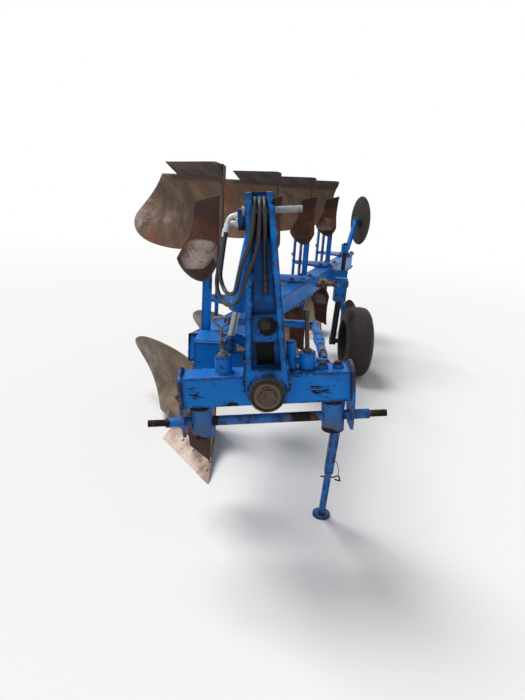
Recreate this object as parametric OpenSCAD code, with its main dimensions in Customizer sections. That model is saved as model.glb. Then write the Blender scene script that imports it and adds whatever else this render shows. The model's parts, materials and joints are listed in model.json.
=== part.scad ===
// Mounted reversible plough with four furrows, in millimetres.
// X points to the right as seen from the tractor end, Y to the rear, Z up.
// Inside this file Y = 0 is the front face of the turnover boss and X = 0 the turnover axis;
// stand() moves the whole machine so that the origin lies under the middle of its box.

/* [Layout] */
// Height of the turnover axis above the ground
axis_height = 850; // [800:10:900]
// Sideways step from one body to the next, which is the furrow width
furrow_width = 350; // [320:10:380]
// Lengthwise step from one body to the next
body_spacing = 950; // [850:10:1000]
// Sideways place of the first share tip
first_tip_x = -246; // [-280:2:-220]
// Lengthwise place of the first share tip
first_tip_y = 726; // [700:2:800]
// Lean of the headstock about the turnover axis, degrees
headstock_lean = 5.8; // [0:0.2:8]

/* [Headstock] */
// Length of the cross tube between its end plates
cross_length = 660; // [600:10:720]
// Side of the square cross tube
cross_side = 120; // [100:5:130]
// Front face of the cross tube behind the boss face
cross_front = 50; // [40:5:60]
// Thickness of an end plate
end_plate = 12; // [8:1:16]
// Radius of the bearing housing
housing_r = 72; // [66:1:80]
// Rear end of the bearing housing
housing_rear = 255; // [230:5:260]
// Height of the mast top above the turnover axis
mast_rise = 735; // [650:5:760]
// Outer width of the mast at its foot
mast_foot_w = 160; // [140:5:180]
// Outer width of the mast at its top
mast_top_w = 97; // [90:1:110]
// Thickness of a mast side plate
mast_plate = 22; // [16:1:24]
// Rear face of the mast
mast_rear = 200; // [180:5:210]
// Front edge of the mast
mast_front = 22; // [16:2:30]

/* [Hitch] */
// Distance of the lower link shaft below the turnover axis
shaft_drop = 145; // [130:5:155]
// Length of the lower link shaft between its shoulders
shaft_shoulders = 825; // [800:5:870]
// Radius of the lower link shaft
shaft_r = 20; // [18:1:24]
// Radius of a lower link pin
link_pin_r = 14; // [11:0.5:15]
// Length of a lower link pin
link_pin_length = 72; // [60:2:90]
// Radius of the vertical bush round the shaft
bush_r = 46; // [40:1:50]
// Sideways place of a bush
bush_x = 265; // [250:5:275]
// Radius of the top link pin
top_pin_r = 12.5; // [9:0.5:16]
// Height of the top link pin above the turnover axis
top_pin_rise = 672; // [600:2:680]

/* [Turnover] */
// Radius of the turnover shaft
turn_shaft_r = 45; // [40:1:50]
// Radius of the flange behind the shaft
flange_r = 108; // [100:2:120]
// Front face of the flange
flange_front = 345; // [342:1:360]
// Thickness of the flange and of the console plate
flange_plate = 28; // [20:1:32]
// Radius of the turnover cylinder's barrel
barrel_r = 32; // [28:1:36]
// Radius of its chromed rod
rod_r = 15; // [12:0.5:18]
// Lengthwise place of the cylinder's centre line
cylinder_y = 300; // [296:1:302]
// Height of the cylinder's upper pin above the turnover axis
cylinder_rise = 668; // [640:2:690]
// Length of the barrel below its upper pin
barrel_length = 418; // [390:2:424]
// Radius at which the rod's eye takes hold of the crank
crank_r = 186; // [180:1:192]
// Angle of the crank at rest, from straight up, degrees
crank_angle = 59; // [50:1:65]

/* [Beam] */
// Side of the square main beam
beam_side = 130; // [120:5:150]
// Front end of the beam
beam_front = 560; // [510:5:562]
// Length that the beam runs on behind the last share tip
beam_tail = 640; // [600:10:700]
// Shift of the beam to the right of the line through the share tips
beam_shift = 20; // [0:5:40]

/* [Plough body] */
// Length of a share's cutting edge
share_length = 600; // [540:10:640]
// Width of a share
share_width = 130; // [110:5:150]
// Thickness of a share
share_thick = 12; // [8:1:14]
// Lift angle of a share, degrees
share_lift = 30; // [26:1:34]
// Angle of the cutting edge to the furrow wall, degrees
share_angle = 32; // [30:1:38]
// Height of a mouldboard
board_height = 515; // [480:5:530]
// Length of a mouldboard along its top
board_length = 1030; // [960:10:1060]
// Angle of a mouldboard's top to the furrow wall, degrees
wing_angle = 40; // [38:1:46]
// Thickness of a mouldboard
board_thick = 9; // [6:1:12]
// Distance that the mouldboard sweeps back between share and top
shin_run = 265; // [220:5:300]
// Thickness of a landside
landside_thick = 14; // [10:1:18]
// Height of a landside
landside_height = 110; // [90:5:130]
// Rear end of a landside behind the share tip
landside_rear = 700; // [640:10:760]
// Thickness of a leg plate
leg_plate = 20; // [14:1:24]
// Width of a leg over both plates
leg_width = 80; // [70:2:90]
// Depth of a leg plate, front to rear
leg_depth = 95; // [80:5:110]
// Front edge of a leg behind the share tip
leg_front = 612; // [610:2:630]

/* [Skimmers] */
// Height of an upper skimmer's edge under its share plane
skimmer_upper_base = 143; // [130:1:160]
// Height of a lower skimmer's edge above its share plane
skimmer_lower_base = 300; // [280:5:310]
// Height of a skimmer
skimmer_height = 370; // [350:5:380]
// Distance of a skimmer's point ahead of the share tip
skimmer_lead = 260; // [255:5:270]
// Side of a skimmer's stem
stem_side = 42; // [38:2:46]

/* [Depth wheel] */
// Radius of the depth wheel
wheel_r = 315; // [290:5:330]
// Width of its tyre
tyre_width = 235; // [200:5:250]
// Sideways place of the wheel's middle
wheel_x = 928; // [920:4:960]
// Lengthwise place of the wheel's axle
wheel_y = 2700; // [2680:10:2720]
// Lengthwise place of the arm's pivot
arm_pivot_y = 2600; // [2590:10:2620]
// Radius of the arm's pivot tube
pivot_r = 28; // [24:1:34]

/* [Disc coulters] */
// Radius of a disc coulter
disc_r = 225; // [200:5:230]
// Sideways place of the discs
disc_x = 978; // [970:2:985]
// Lengthwise place of the discs
disc_y = 3300; // [3290:10:3340]
// Height of a disc's centre above or below the turnover axis
disc_rise = 500; // [480:10:520]

/* [Parking stand] */
// Foot of the stand, sideways
stand_foot_x = 352; // [340:2:360]
// Foot of the stand, lengthwise
stand_foot_y = 490; // [470:5:500]
// Side of the stand's outer tube
stand_side = 40; // [38:1:44]

/* [Hidden] */
$fn = 48;
// Gap between pieces that are welded or bolted together
seat = 0.3;
// Radial gap of a shaft in its bearing
running = 0.05;
big = 4000;

BODIES = [0, 1, 2, 3];

// The beam runs parallel to the line through the share tips
beam_angle = atan(furrow_width / body_spacing);

function beam_x(y) = first_tip_x + beam_shift + (y - first_tip_y) * tan(beam_angle);

blue = [0.07, 0.31, 0.65];
black = [0.08, 0.08, 0.09];
rust = [0.36, 0.22, 0.15];
brown = [0.27, 0.19, 0.16];
steel = [0.55, 0.54, 0.52];

// Places the whole machine with the origin under the middle of its box
module stand() { translate([-middle.x, -middle.y, 0]) children(); }

// Places what belongs to the leaning headstock; z counts from the turnover axis
module on_headstock() {
    stand() translate([0, 0, axis_height]) rotate([0, -headstock_lean, 0]) children();
}

// Places what turns over with the frame; z counts from the turnover axis
module on_frame() { stand() translate([0, 0, axis_height]) children(); }

// A plate drawn in X and Z, standing from y = 0 to its thickness
module upright_plate(thick) { translate([0, thick, 0]) rotate([90, 0, 0]) linear_extrude(thick) children(); }

// A plate drawn in Y and Z, lying from x = 0 to its thickness
module side_plate(thick) { rotate([90, 0, 90]) linear_extrude(thick) children(); }

// A bar along X, Y or any line between two points
module rod_between(a, b, r) {
    d = b - a;
    translate(a) rotate([0, acos(d.z / norm(d)), atan2(d.y, d.x)]) cylinder(r = r, h = norm(d));
}

module along_y(r, h) { rotate([-90, 0, 0]) cylinder(r = r, h = h); }
module along_x(r, h) { rotate([0, 90, 0]) cylinder(r = r, h = h); }

// Headstock

cross_mid_y = cross_front + cross_side / 2;

module cross_tube() {
    color(blue) on_headstock() difference() {
        translate([-cross_length / 2, cross_front, -cross_side / 2])
            cube([cross_length, cross_side, cross_side]);
        translate([0, cross_front - 1, 0]) along_y(housing_r + seat, cross_side + 2);
    }
}

housing_front = 12;

module bearing_housing() {
    color(blue) on_headstock() difference() {
        translate([0, housing_front, 0]) along_y(housing_r, housing_rear - housing_front);
        translate([0, housing_front - 1, 0]) along_y(turn_shaft_r + running, housing_rear);
    }
}

mast_web_y = 80;
mast_web = 14;
window_low = 92;
window_high = 190;

// Outline of the two side plates, seen from the front
module mast_sides() {
    foot = cross_side / 2 + seat;
    for (side = [-1, 1]) polygon([
        [side * mast_foot_w / 2, foot], [side * mast_top_w / 2, mast_rise],
        [side * (mast_top_w / 2 - mast_plate), mast_rise], [side * (mast_foot_w / 2 - mast_plate), foot]]);
}

// Outline of the foot that flares down over the boss
module mast_foot() {
    difference() {
        polygon([[-mast_foot_w / 2 - 8, 0], [mast_foot_w / 2 + 8, 0], [mast_foot_w / 2 + 8, 60],
                 [mast_foot_w / 2, 130], [-mast_foot_w / 2, 130], [-mast_foot_w / 2 - 8, 60]]);
        translate([-mast_foot_w / 2 + mast_plate, window_low]) square([mast_foot_w - 2 * mast_plate, 50]);
    }
}

module mast() {
    color(blue) on_headstock() difference() {
        union() {
            translate([0, mast_front, 0]) upright_plate(mast_rear - mast_front) mast_sides();
            translate([0, mast_front, 0]) upright_plate(cross_front - seat - mast_front) mast_foot();
            translate([0, mast_web_y, 0]) upright_plate(mast_web) difference() {
                polygon([[-mast_foot_w / 2 + 2, cross_side / 2 + seat],
                         [mast_foot_w / 2 - 2, cross_side / 2 + seat],
                         [mast_top_w / 2 - 2, top_pin_rise - 90], [-mast_top_w / 2 + 2, top_pin_rise - 90]]);
                translate([-34, window_low]) square([68, window_high - window_low]);
            }
            translate([0, mast_rear - mast_web, 0]) upright_plate(mast_web)
                polygon([[-mast_top_w / 2 + 2, cylinder_rise - 120],
                         [mast_top_w / 2 - 2, cylinder_rise - 120],
                         [mast_top_w / 2 - 2, mast_rise], [-mast_top_w / 2 + 2, mast_rise]]);
            translate([0, mast_rear, cylinder_rise]) along_y(28, cylinder_y - barrel_r - 6 - mast_rear);
            translate([0, mast_rear, cylinder_rise])
                along_y(cylinder_pin_r, cylinder_y + eye_half + 12 - mast_rear);
        }
        translate([-mast_foot_w, cross_mid_y, top_pin_rise]) along_x(top_pin_r + running, 2 * mast_foot_w);
        along_y(housing_r + seat, mast_rear + 10);
    }
}

ear_rise = 85;
bracket_drop = shaft_drop + 50;

module link_bracket(side) {
    color(blue) on_headstock() mirror([side < 0 ? 1 : 0, 0, 0]) difference() {
        union() {
            translate([cross_length / 2 + seat, 0, 0]) side_plate(end_plate) polygon([
                [cross_front - 14, -cross_side / 2], [cross_front + 20, -bracket_drop],
                [cross_front + cross_side - 20, -bracket_drop],
                [cross_front + cross_side + 14, -cross_side / 2],
                [cross_front + cross_side + 14, cross_side / 2], [cross_mid_y + 20, ear_rise],
                [cross_mid_y - 20, ear_rise], [cross_front - 14, cross_side / 2]]);
            translate([bush_x, cross_mid_y, -shaft_drop - 60])
                cylinder(r = bush_r, h = shaft_drop + 60 - cross_side / 2 - seat);
        }
        translate([bush_x - bush_r - 1, cross_mid_y, -shaft_drop]) along_x(shaft_r + seat, cross_length);
    }
}

module link_bracket_left() { link_bracket(-1); }
module link_bracket_right() { link_bracket(1); }

module lower_link_shaft() {
    color(black) on_headstock() translate([0, cross_mid_y, -shaft_drop]) difference() {
        union() {
            translate([-shaft_shoulders / 2, 0, 0]) along_x(shaft_r, shaft_shoulders);
            translate([-shaft_shoulders / 2 - link_pin_length, 0, 0])
                along_x(link_pin_r, shaft_shoulders + 2 * link_pin_length);
        }
        for (side = [-1, 1])
            translate([side * (shaft_shoulders / 2 + link_pin_length - 14), 0, -shaft_r])
                cylinder(r = 5.5, h = 2 * shaft_r);
    }
}

module top_link_pin() {
    color(steel) on_headstock() translate([0, cross_mid_y, top_pin_rise]) {
        translate([-mast_top_w / 2 - 14, 0, 0]) along_x(top_pin_r, mast_top_w + 120);
        translate([-mast_top_w / 2 - 16, 0, 0]) along_x(top_pin_r + 6, 10);
    }
}

column_x = 165;
column_r = 33;
column_rise = 70;
latch_r = 6;

module stop_columns() {
    color(blue) on_headstock() {
        for (side = [-1, 1]) translate([side * column_x, cross_mid_y, cross_side / 2 + seat])
            cylinder(r = column_r, h = column_rise);
        translate([mast_foot_w / 2 + 22, cross_mid_y, cross_side / 2 + seat]) cylinder(r = 20, h = 118);
        for (x = [225, 285]) translate([x, cross_mid_y, cross_side / 2 + seat]) cylinder(r = 22, h = 14);
    }
}

module latch_pin() {
    top = cross_side / 2 + column_rise + 2 * seat;
    color(rust) on_headstock() {
        translate([-column_x, cross_mid_y, top]) {
            cylinder(r = 20, h = 12);
            cylinder(r = latch_r, h = 110);
            translate([0, 0, 104]) rod_between([0, 0, 0], [-26, 0, 40], latch_r);
            translate([0, 0, 104]) rod_between([0, 0, 0], [26, 0, 40], latch_r);
            translate([-30, 0, 146]) along_x(latch_r, 60);
        }
        translate([column_x, cross_mid_y, top]) {
            cylinder(r = 18, h = 12);
            cylinder(r = 9, h = 170);
        }
    }
}

// Hydraulic hoses. Their routes are points in the leaning headstock, z from the turnover axis

hose_r = 8;
hose_sides = 10;
hose_inner_route = [
    [-127, 150, 598], [-136, 151, 557], [-144, 151, 517], [-152, 152, 476], [-158, 151, 435],
    [-150, 137, 397], [-134, 105, 377], [-114, 70, 380], [-98, 39, 402], [-89, 19, 438],
    [-78, 12, 478], [-62, 12, 517], [-46, 11, 555], [-34, 11, 595], [-27, 11, 635],
    [-22, 17, 674], [-19, 46, 704], [-18, 86, 714], [-18, 124, 699], [-18, 147, 666],
    [-18, 152, 625], [-20, 152, 583], [-23, 152, 542], [-24, 152, 500]];
hose_outer_route = [
    [-136, 172, 578], [-146, 172, 538], [-155, 172, 498], [-165, 172, 458], [-174, 172, 418],
    [-173, 166, 378], [-159, 146, 346], [-139, 114, 331], [-117, 80, 336], [-97, 50, 355],
    [-81, 27, 386], [-69, 15, 423], [-54, 12, 461], [-37, 12, 498], [-22, 12, 537],
    [-12, 12, 577], [-7, 12, 618], [-4, 15, 658], [-1, 34, 693], [0, 68, 712],
    [0, 108, 708], [0, 139, 683], [0, 151, 644], [0, 152, 603], [0, 152, 562],
    [0, 152, 521], [0, 152, 480]];
hose_spare_route = [
    [10, 68, 448], [10, 68, 490], [11, 60, 531], [12, 43, 568], [13, 24, 605],
    [14, 14, 645], [16, 26, 684], [17, 59, 708], [17, 100, 712], [18, 135, 690],
    [18, 151, 651], [19, 152, 608], [22, 152, 566], [24, 152, 522]];
// The spare hose's coupling leans on the web of the mast
coupling_r = mast_web_y - hose_spare_route[0].y - seat;

// Points round a route's k-th point, square to the route there
function hose_ring(route, k) =
    let (way = route[min(len(route) - 1, k + 1)] - route[max(0, k - 1)],
         side = cross(way, [1, 0, 0]), s = side / norm(side), up = cross(s, way), c = up / norm(up))
    [for (i = [0:hose_sides - 1])
        let (w = 360 * i / hose_sides) route[k] + hose_r * (cos(w) * s + sin(w) * c)];

module hose(route) {
    n = hose_sides;
    last = len(route) - 1;
    points = [for (k = [0:last]) each hose_ring(route, k)];
    sides = [for (k = [0:last - 1], i = [0:n - 1])
        [k * n + i, k * n + (i + 1) % n, (k + 1) * n + (i + 1) % n, (k + 1) * n + i]];
    ends = [[for (i = [n - 1:-1:0]) i], [for (i = [0:n - 1]) last * n + i]];
    color(black) on_headstock() polyhedron(points = points, faces = concat(sides, ends));
}

module hose_inner() { hose(hose_inner_route); }
module hose_outer() { hose(hose_outer_route); }
module hose_spare() { hose(hose_spare_route); }

// A round fitting that meets the end of a hose face to face and goes on from there
module fitting(tip, before, r, length) {
    way = (tip - before) / norm(tip - before);
    rod_between(tip, tip + length * way, r);
}

module hose_couplings() {
    color(steel) on_headstock() {
        for (route = [hose_inner_route, hose_outer_route, hose_spare_route])
            fitting(route[len(route) - 1], route[len(route) - 2], coupling_r, 75);
        fitting(hose_spare_route[0], hose_spare_route[1], coupling_r, 75);
    }
}

pipe_r = 7;
function mast_half(z) = mast_foot_w / 2
    + (mast_top_w - mast_foot_w) / 2 * (z - cross_side / 2) / (mast_rise - cross_side / 2);

// Two bent pipes from a block on the left mast plate to the hoses
module steel_pipes() {
    low = 604;
    high = 676;
    color(steel) on_headstock() {
        translate([0, 136, 0]) upright_plate(52) polygon([
            [-mast_half(low) - seat, low], [-mast_half(high) - seat, high], [-78, high], [-78, low]]);
        for (pipe = [[hose_inner_route, 155, 655], [hose_outer_route, 172, 627]]) {
            tip = pipe[0][0];
            way = (tip - pipe[0][1]) / norm(tip - pipe[0][1]);
            bend = tip + 40 * way;
            corner = [bend.x + 14, pipe[1], pipe[2]];
            fitting(tip, pipe[0][1], 10.5, 26);
            rod_between(tip + 20 * way, bend, pipe_r);
            translate(bend) sphere(r = pipe_r + 1);
            rod_between(bend, corner, pipe_r);
            translate(corner) sphere(r = pipe_r + 1);
            rod_between(corner, [-76, pipe[1], pipe[2]], pipe_r);
        }
    }
}

// Parking stand, leaning forward from its foot to the rear of the cross tube's right end

stand_foot = [stand_foot_x, stand_foot_y, 0];
stand_top = [stand_foot_x - 22, 204, axis_height + 70];
stand_way = (stand_top - stand_foot) / norm(stand_top - stand_foot);
stand_length = norm(stand_top - stand_foot);
stand_inner = stand_side - 10;
stand_tube_start = 330;
stand_leg_length = 480;

module along_stand() {
    stand() translate(stand_foot)
        rotate([0, acos(stand_way.z), atan2(stand_way.y, stand_way.x)]) children();
}

module stand_tube() {
    bore = stand_inner + 2 * running;
    color(blue) difference() {
        union() {
            along_stand() translate([-stand_side / 2, -stand_side / 2, stand_tube_start])
                cube([stand_side, stand_side, stand_length - stand_tube_start]);
            on_headstock() translate([250, cross_front + cross_side + seat, -20])
                cube([76, 62, 50]);
        }
        along_stand() translate([-bore / 2, -bore / 2, stand_tube_start - 1])
            cube([bore, bore, stand_length - stand_tube_start + 2]);
    }
}

module stand_leg() {
    color(black) {
        along_stand() translate([-stand_inner / 2, -stand_inner / 2, 12])
            cube([stand_inner, stand_inner, stand_leg_length]);
        stand() translate(stand_foot) cylinder(r = 45, h = 14);
    }
}

// Turnover cylinder

eye_half = 22;
eye_r = 36;
cylinder_pin_r = 15;
crank_x = -crank_r * sin(crank_angle);
crank_z = crank_r * cos(crank_angle);
pin_x = -cylinder_rise * sin(headstock_lean);
pin_z = cylinder_rise * cos(headstock_lean);
cylinder_lean = atan2(crank_x - pin_x, pin_z - crank_z);
cylinder_length = norm([crank_x - pin_x, crank_z - pin_z]);

// Places the cylinder at its upper pin, with z running down its axis turned up
module on_cylinder() {
    on_frame() translate([pin_x, cylinder_y, pin_z]) rotate([0, -cylinder_lean, 0]) children();
}

module cylinder_barrel() {
    color(blue) on_cylinder() {
        difference() {
            union() {
                translate([0, -eye_half, 0]) along_y(eye_r, 2 * eye_half);
                translate([0, 0, -barrel_length]) cylinder(r = barrel_r, h = barrel_length - 20);
                translate([0, 0, -barrel_length]) cylinder(r = barrel_r + 3, h = 30);
            }
            translate([0, -eye_half - 1, 0]) along_y(cylinder_pin_r + running, 2 * eye_half + 2);
            translate([0, 0, -barrel_length - 1]) cylinder(r = rod_r + running, h = barrel_length - 60);
        }
    }
}

module cylinder_rod() {
    color([0.7, 0.7, 0.7]) on_cylinder() {
        translate([0, 0, -cylinder_length]) cylinder(r = rod_r, h = cylinder_length - 170);
        translate([0, -eye_half, -cylinder_length]) along_y(eye_r - 4, 2 * eye_half);
        translate([0, -eye_half - 8, -cylinder_length]) along_y(cylinder_pin_r, 2 * eye_half + 16);
    }
}

// Frame

module turnover_shaft() {
    color(steel) on_frame() {
        translate([0, -14, 0]) along_y(turn_shaft_r, flange_front + 14 - seat);
        color(black) translate([0, 0, 0]) along_y(housing_r - 3, housing_front - 0.6);
        translate([0, -14, 0]) along_y(52, 14);
        translate([0, nut_front, 0]) rotate([-90, 0, 0]) cylinder(r = 38, h = 22, $fn = 6);
    }
}

console_left = -312;
console_right = 300;
console_half = 62;
console_hump = 28;
console_rear = beam_front - seat;

module console() {
    color(blue) on_frame() {
        translate([0, flange_front, 0]) {
            along_y(flange_r, flange_plate);
            upright_plate(flange_plate) {
                polygon([[console_left, -console_half], [console_right - 20, -40], [console_right, -20],
                         [console_right, 20], [console_right - 20, 40], [console_left, console_half]]);
                polygon([[-60, 60], [crank_x - 42, crank_z + 36], [crank_x + 34, crank_z + 44],
                         [60, 60], [0, 0]]);
            }
            translate([console_left, 0, -console_half])
                cube([150, console_rear - flange_front, 2 * console_half + console_hump]);
        }
    }
}

// The beam is square to its own direction, with both ends cut across the machine
module main_beam() {
    beam_end = first_tip_y + 3 * body_spacing + beam_tail;
    half = beam_side / 2 / cos(beam_angle);
    color(blue) on_frame() translate([0, 0, -beam_side / 2]) linear_extrude(beam_side) polygon([
        [beam_x(beam_front) - half, beam_front], [beam_x(beam_front) + half, beam_front],
        [beam_x(beam_end) + half, beam_end], [beam_x(beam_end) - half, beam_end]]);
}

// The room that the beam takes near a place along it, with a gap on its right side
module beam_space(y) {
    translate([beam_x(y), y, 0]) rotate([0, 0, -beam_angle])
        translate([-beam_side, -200, -100]) cube([beam_side * 1.5 + seat, 400, 200]);
}

spindle_x = 268;
spindle_front = flange_front + flange_plate;
spindle_rear = 800;

module adjusting_spindle() {
    lug_y = spindle_front + 40;
    color(blue) on_frame() {
        translate([spindle_x, lug_y, 30]) {
            rod_between([0, 30, 8], [0, spindle_rear - lug_y - 30, 52], 20);
            rod_between([0, 0, 0], [0, spindle_rear - lug_y, 60], 11);
        }
        translate([spindle_x - 10, spindle_front + seat, -12]) cube([20, 60, 60]);
        translate([beam_x(spindle_rear), spindle_rear - 20, beam_side / 2 + seat])
            cube([spindle_x + 20 - beam_x(spindle_rear), 40, 34]);
    }
}

// Plough bodies. A mouldboard is a ruled surface: level lines that start on the shin, a curve
// in the furrow wall plane, and turn away from the wall by an angle that grows with height.
// A surface is given by [edge angle, wing angle, foot z, top z, foot y, run].

function shin_foot_y() = share_width * sin(share_lift) / (tan(share_lift) * sin(share_angle));
share_top_z = share_width * sin(share_lift);
board_form = [share_angle, wing_angle, share_top_z, board_height, shin_foot_y(), shin_run];

function rise_of(form, z) = max(0, min(1, (z - form[2]) / (form[3] - form[2])));
function shin_power(form, lift) = (form[3] - form[2]) / (tan(lift) * sin(form[0]) * form[5]);
function shin_y(form, z) = form[4] + form[5] * (1 - pow(1 - rise_of(form, z), shin_power(form, share_lift)));
function turn_at(form, z) = form[0] + (form[1] - form[0]) * pow(rise_of(form, z), 1.5);
function board_point(form, u, z) =
    let (turn = turn_at(form, z)) [-u * sin(turn), shin_y(form, z) + u * cos(turn), z];

// Unit normal of the surface on its hollow front side, from two short steps
function front_normal(form, u, z) =
    let (step = 2, low = max(form[2], z - step), high = min(form[3], z + step),
         du = board_point(form, u + step, z) - board_point(form, u, z),
         dz = board_point(form, u, high) - board_point(form, u, low), n = cross(dz, du))
    n / norm(n);

// Lower and upper edge of a mouldboard as heights along it
wing_start = 540;
crest = 600;
tail_low = 385;
tail_drop = 75;
shin_drop = 101;
function board_low(u) = share_top_z + 1.2 + (u < wing_start ? 0
    : (tail_low - share_top_z) * pow((u - wing_start) / (board_length - wing_start), 2.4));
function board_high(u) = board_height - (u < crest ? shin_drop * pow(1 - u / crest, 2)
    : tail_drop * pow((u - crest) / (board_length - crest), 2.5));

// Faces of a closed sheet whose points are first the front grid and then the back grid
function sheet_faces(nu, nv) =
    let (n = nu * nv, at = function (i, j) i * nv + j)
    concat(
        [for (i = [0:nu - 2], j = [0:nv - 2], k = [0, 1])
            k == 0 ? [at(i, j), at(i, j + 1), at(i + 1, j + 1)]
                   : [at(i, j), at(i + 1, j + 1), at(i + 1, j)]],
        [for (i = [0:nu - 2], j = [0:nv - 2], k = [0, 1])
            k == 0 ? [n + at(i, j), n + at(i + 1, j + 1), n + at(i, j + 1)]
                   : [n + at(i, j), n + at(i + 1, j), n + at(i + 1, j + 1)]],
        [for (i = [0:nu - 2], k = [0, 1])
            k == 0 ? [at(i, 0), at(i + 1, 0), n + at(i, 0)]
                   : [at(i + 1, 0), n + at(i + 1, 0), n + at(i, 0)]],
        [for (i = [0:nu - 2], k = [0, 1])
            k == 0 ? [at(i, nv - 1), n + at(i, nv - 1), at(i + 1, nv - 1)]
                   : [at(i + 1, nv - 1), n + at(i, nv - 1), n + at(i + 1, nv - 1)]],
        [for (j = [0:nv - 2], k = [0, 1])
            k == 0 ? [at(0, j), n + at(0, j), at(0, j + 1)]
                   : [at(0, j + 1), n + at(0, j), n + at(0, j + 1)]],
        [for (j = [0:nv - 2], k = [0, 1])
            k == 0 ? [at(nu - 1, j), at(nu - 1, j + 1), n + at(nu - 1, j)]
                   : [at(nu - 1, j + 1), n + at(nu - 1, j + 1), n + at(nu - 1, j)]]);

board_columns = 15;
board_rows = 9;

module board_sheet() {
    grid = [for (i = [0:board_columns - 1], j = [0:board_rows - 1])
        let (u = board_length * i / (board_columns - 1), t = j / (board_rows - 1),
             z = board_low(u) + (board_high(u) - board_low(u)) * pow(t, 1.3))
        [u, z]];
    front = [for (p = grid) board_point(board_form, p.x, p.y)];
    back = [for (k = [0:len(grid) - 1])
        front[k] - board_thick * front_normal(board_form, grid[k].x, grid[k].y)];
    polyhedron(points = concat(front, back), faces = sheet_faces(board_columns, board_rows));
}

// Places a body's own frame, with its share tip at the origin, for the lower or the upper set
module at_body(i, upper = false) {
    stand() translate([first_tip_x + i * furrow_width, first_tip_y + i * body_spacing, 0]) {
        if (upper) translate([0, 0, 2 * axis_height]) mirror([0, 0, 1]) children();
        else children();
    }
}

module mouldboard(i, upper) { color(rust) at_body(i, upper) board_sheet(); }

module mouldboard_lower_1() { mouldboard(0, false); }
module mouldboard_lower_2() { mouldboard(1, false); }
module mouldboard_lower_3() { mouldboard(2, false); }
module mouldboard_lower_4() { mouldboard(3, false); }
module mouldboard_upper_1() { mouldboard(0, true); }
module mouldboard_upper_2() { mouldboard(1, true); }
module mouldboard_upper_3() { mouldboard(2, true); }
module mouldboard_upper_4() { mouldboard(3, true); }

// Wear of the lower and the upper share points
point_wear = [14, 80];

// Turns a plan of the share, drawn with x along the edge and -y up its slope, into its plane
module share_plane() { rotate([0, 0, 90 + share_angle]) rotate([-share_lift, 0, 0]) children(); }

// Wear takes the point of a share away along its edge
module share(worn) {
    top_start = share_width * cos(share_lift) / tan(share_angle);
    intersection() {
        difference() {
            share_plane() translate([0, 0, -share_thick]) linear_extrude(share_thick) polygon([
                [-80, 30], [share_length + 5, 30], [share_length + 12, -20], [share_length + 95, -75],
                [share_length + 140, -share_width], [top_start - 80, -share_width]]);
            share_plane() translate([0, 0, -2 * share_thick]) linear_extrude(3 * share_thick) polygon([
                [-200, 40], [worn, 40], [worn, 0], [0.72 * worn + 8, -16], [0.72 * worn + 24, -40],
                [0.72 * worn + 60, -75], [-200, -75]]);
        }
        translate([-big, -big / 2, 0]) cube([big, big, big]);
    }
}

module shares_lower() { color(brown) for (i = BODIES) at_body(i) share(point_wear[0]); }
module shares_upper() { color(brown) for (i = BODIES) at_body(i, true) share(point_wear[1]); }

module landside() {
    translate([-landside_thick, 0, 0]) side_plate(landside_thick) polygon([
        [300, 0], [landside_rear, 0], [landside_rear, landside_height], [400, landside_height], [300, 55]]);
}

module landsides() { color(brown) for (i = BODIES) { at_body(i) landside(); at_body(i, true) landside(); } }

// Turns z to run along a direction
module towards(way) { rotate([0, acos(way.z / norm(way)), atan2(way.y, way.x)]) children(); }

// The space in front of the plane that touches the back of the board at (u, z)
module ahead_of_board(form, thick, u, z) {
    n = front_normal(form, u, z);
    translate(board_point(form, u, z) - (thick + seat) * n) towards(n)
        translate([-big / 2, -big / 2, 0]) cube(big);
}

leg_x = -landside_thick - seat - leg_width;
frog_top = 300;
// Heights at which the frog touches the back of the board
frog_seats = [105, 150, 220, 330];

// Lower half of a leg with its frog, which seats the share, the board and the landside
module half_leg() {
    difference() {
        union() {
            difference() {
                translate([leg_x, 220, 12]) cube([leg_width, leg_front + leg_depth - 220, frog_top - 12]);
                translate([leg_x - 1, leg_front + leg_depth - 90, 12]) rotate([-35, 0, 0])
                    translate([0, 0, -400]) cube([leg_width + 2, 600, 400]);
            }
            for (x = [leg_x, leg_x + leg_width - leg_plate])
                translate([x, 0, 0]) side_plate(leg_plate) polygon([
                    [leg_front, frog_top - 40], [leg_front + leg_depth, frog_top - 40],
                    [leg_front + leg_depth, axis_height + 1], [leg_front, axis_height + 1]]);
        }
        intersection() {
            translate([-big / 2, -big / 2, -1]) cube([big, big, board_height + 10]);
            share_plane() translate([-big / 2, -big / 2, -share_thick - seat]) cube(big);
            intersection_for (z = frog_seats)
                ahead_of_board(board_form, board_thick,
                    -(leg_x + leg_width / 2) / sin(turn_at(board_form, z)), z);
        }
    }
}

clamp_plate = 18;
clamp_front = 430;
clamp_rear = 760;
function clamp_right(y) = beam_shift + y * tan(beam_angle) + beam_side / 2 / cos(beam_angle);

// Plates over and under the beam that carry a leg
module leg_clamp() {
    width = beam_side / cos(beam_angle);
    for (z = [beam_side / 2 + seat, -beam_side / 2 - seat - clamp_plate])
        translate([0, 0, z]) linear_extrude(clamp_plate) polygon([
            [leg_x, leg_front - 6], [clamp_right(clamp_front) - width + 20, clamp_front],
            [clamp_right(clamp_front + 40), clamp_front + 40], [clamp_right(clamp_rear), clamp_rear],
            [clamp_right(clamp_rear) - width, clamp_rear], [leg_x, leg_front + leg_depth + 6]]);
}

module leg(i) {
    color(blue) {
        at_body(i) half_leg();
        at_body(i, true) half_leg();
        at_body(i) translate([0, 0, axis_height]) leg_clamp();
    }
}

module leg_1() { leg(0); }
module leg_2() { leg(1); }
module leg_3() { leg(2); }
module leg_4() { leg(3); }

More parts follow.
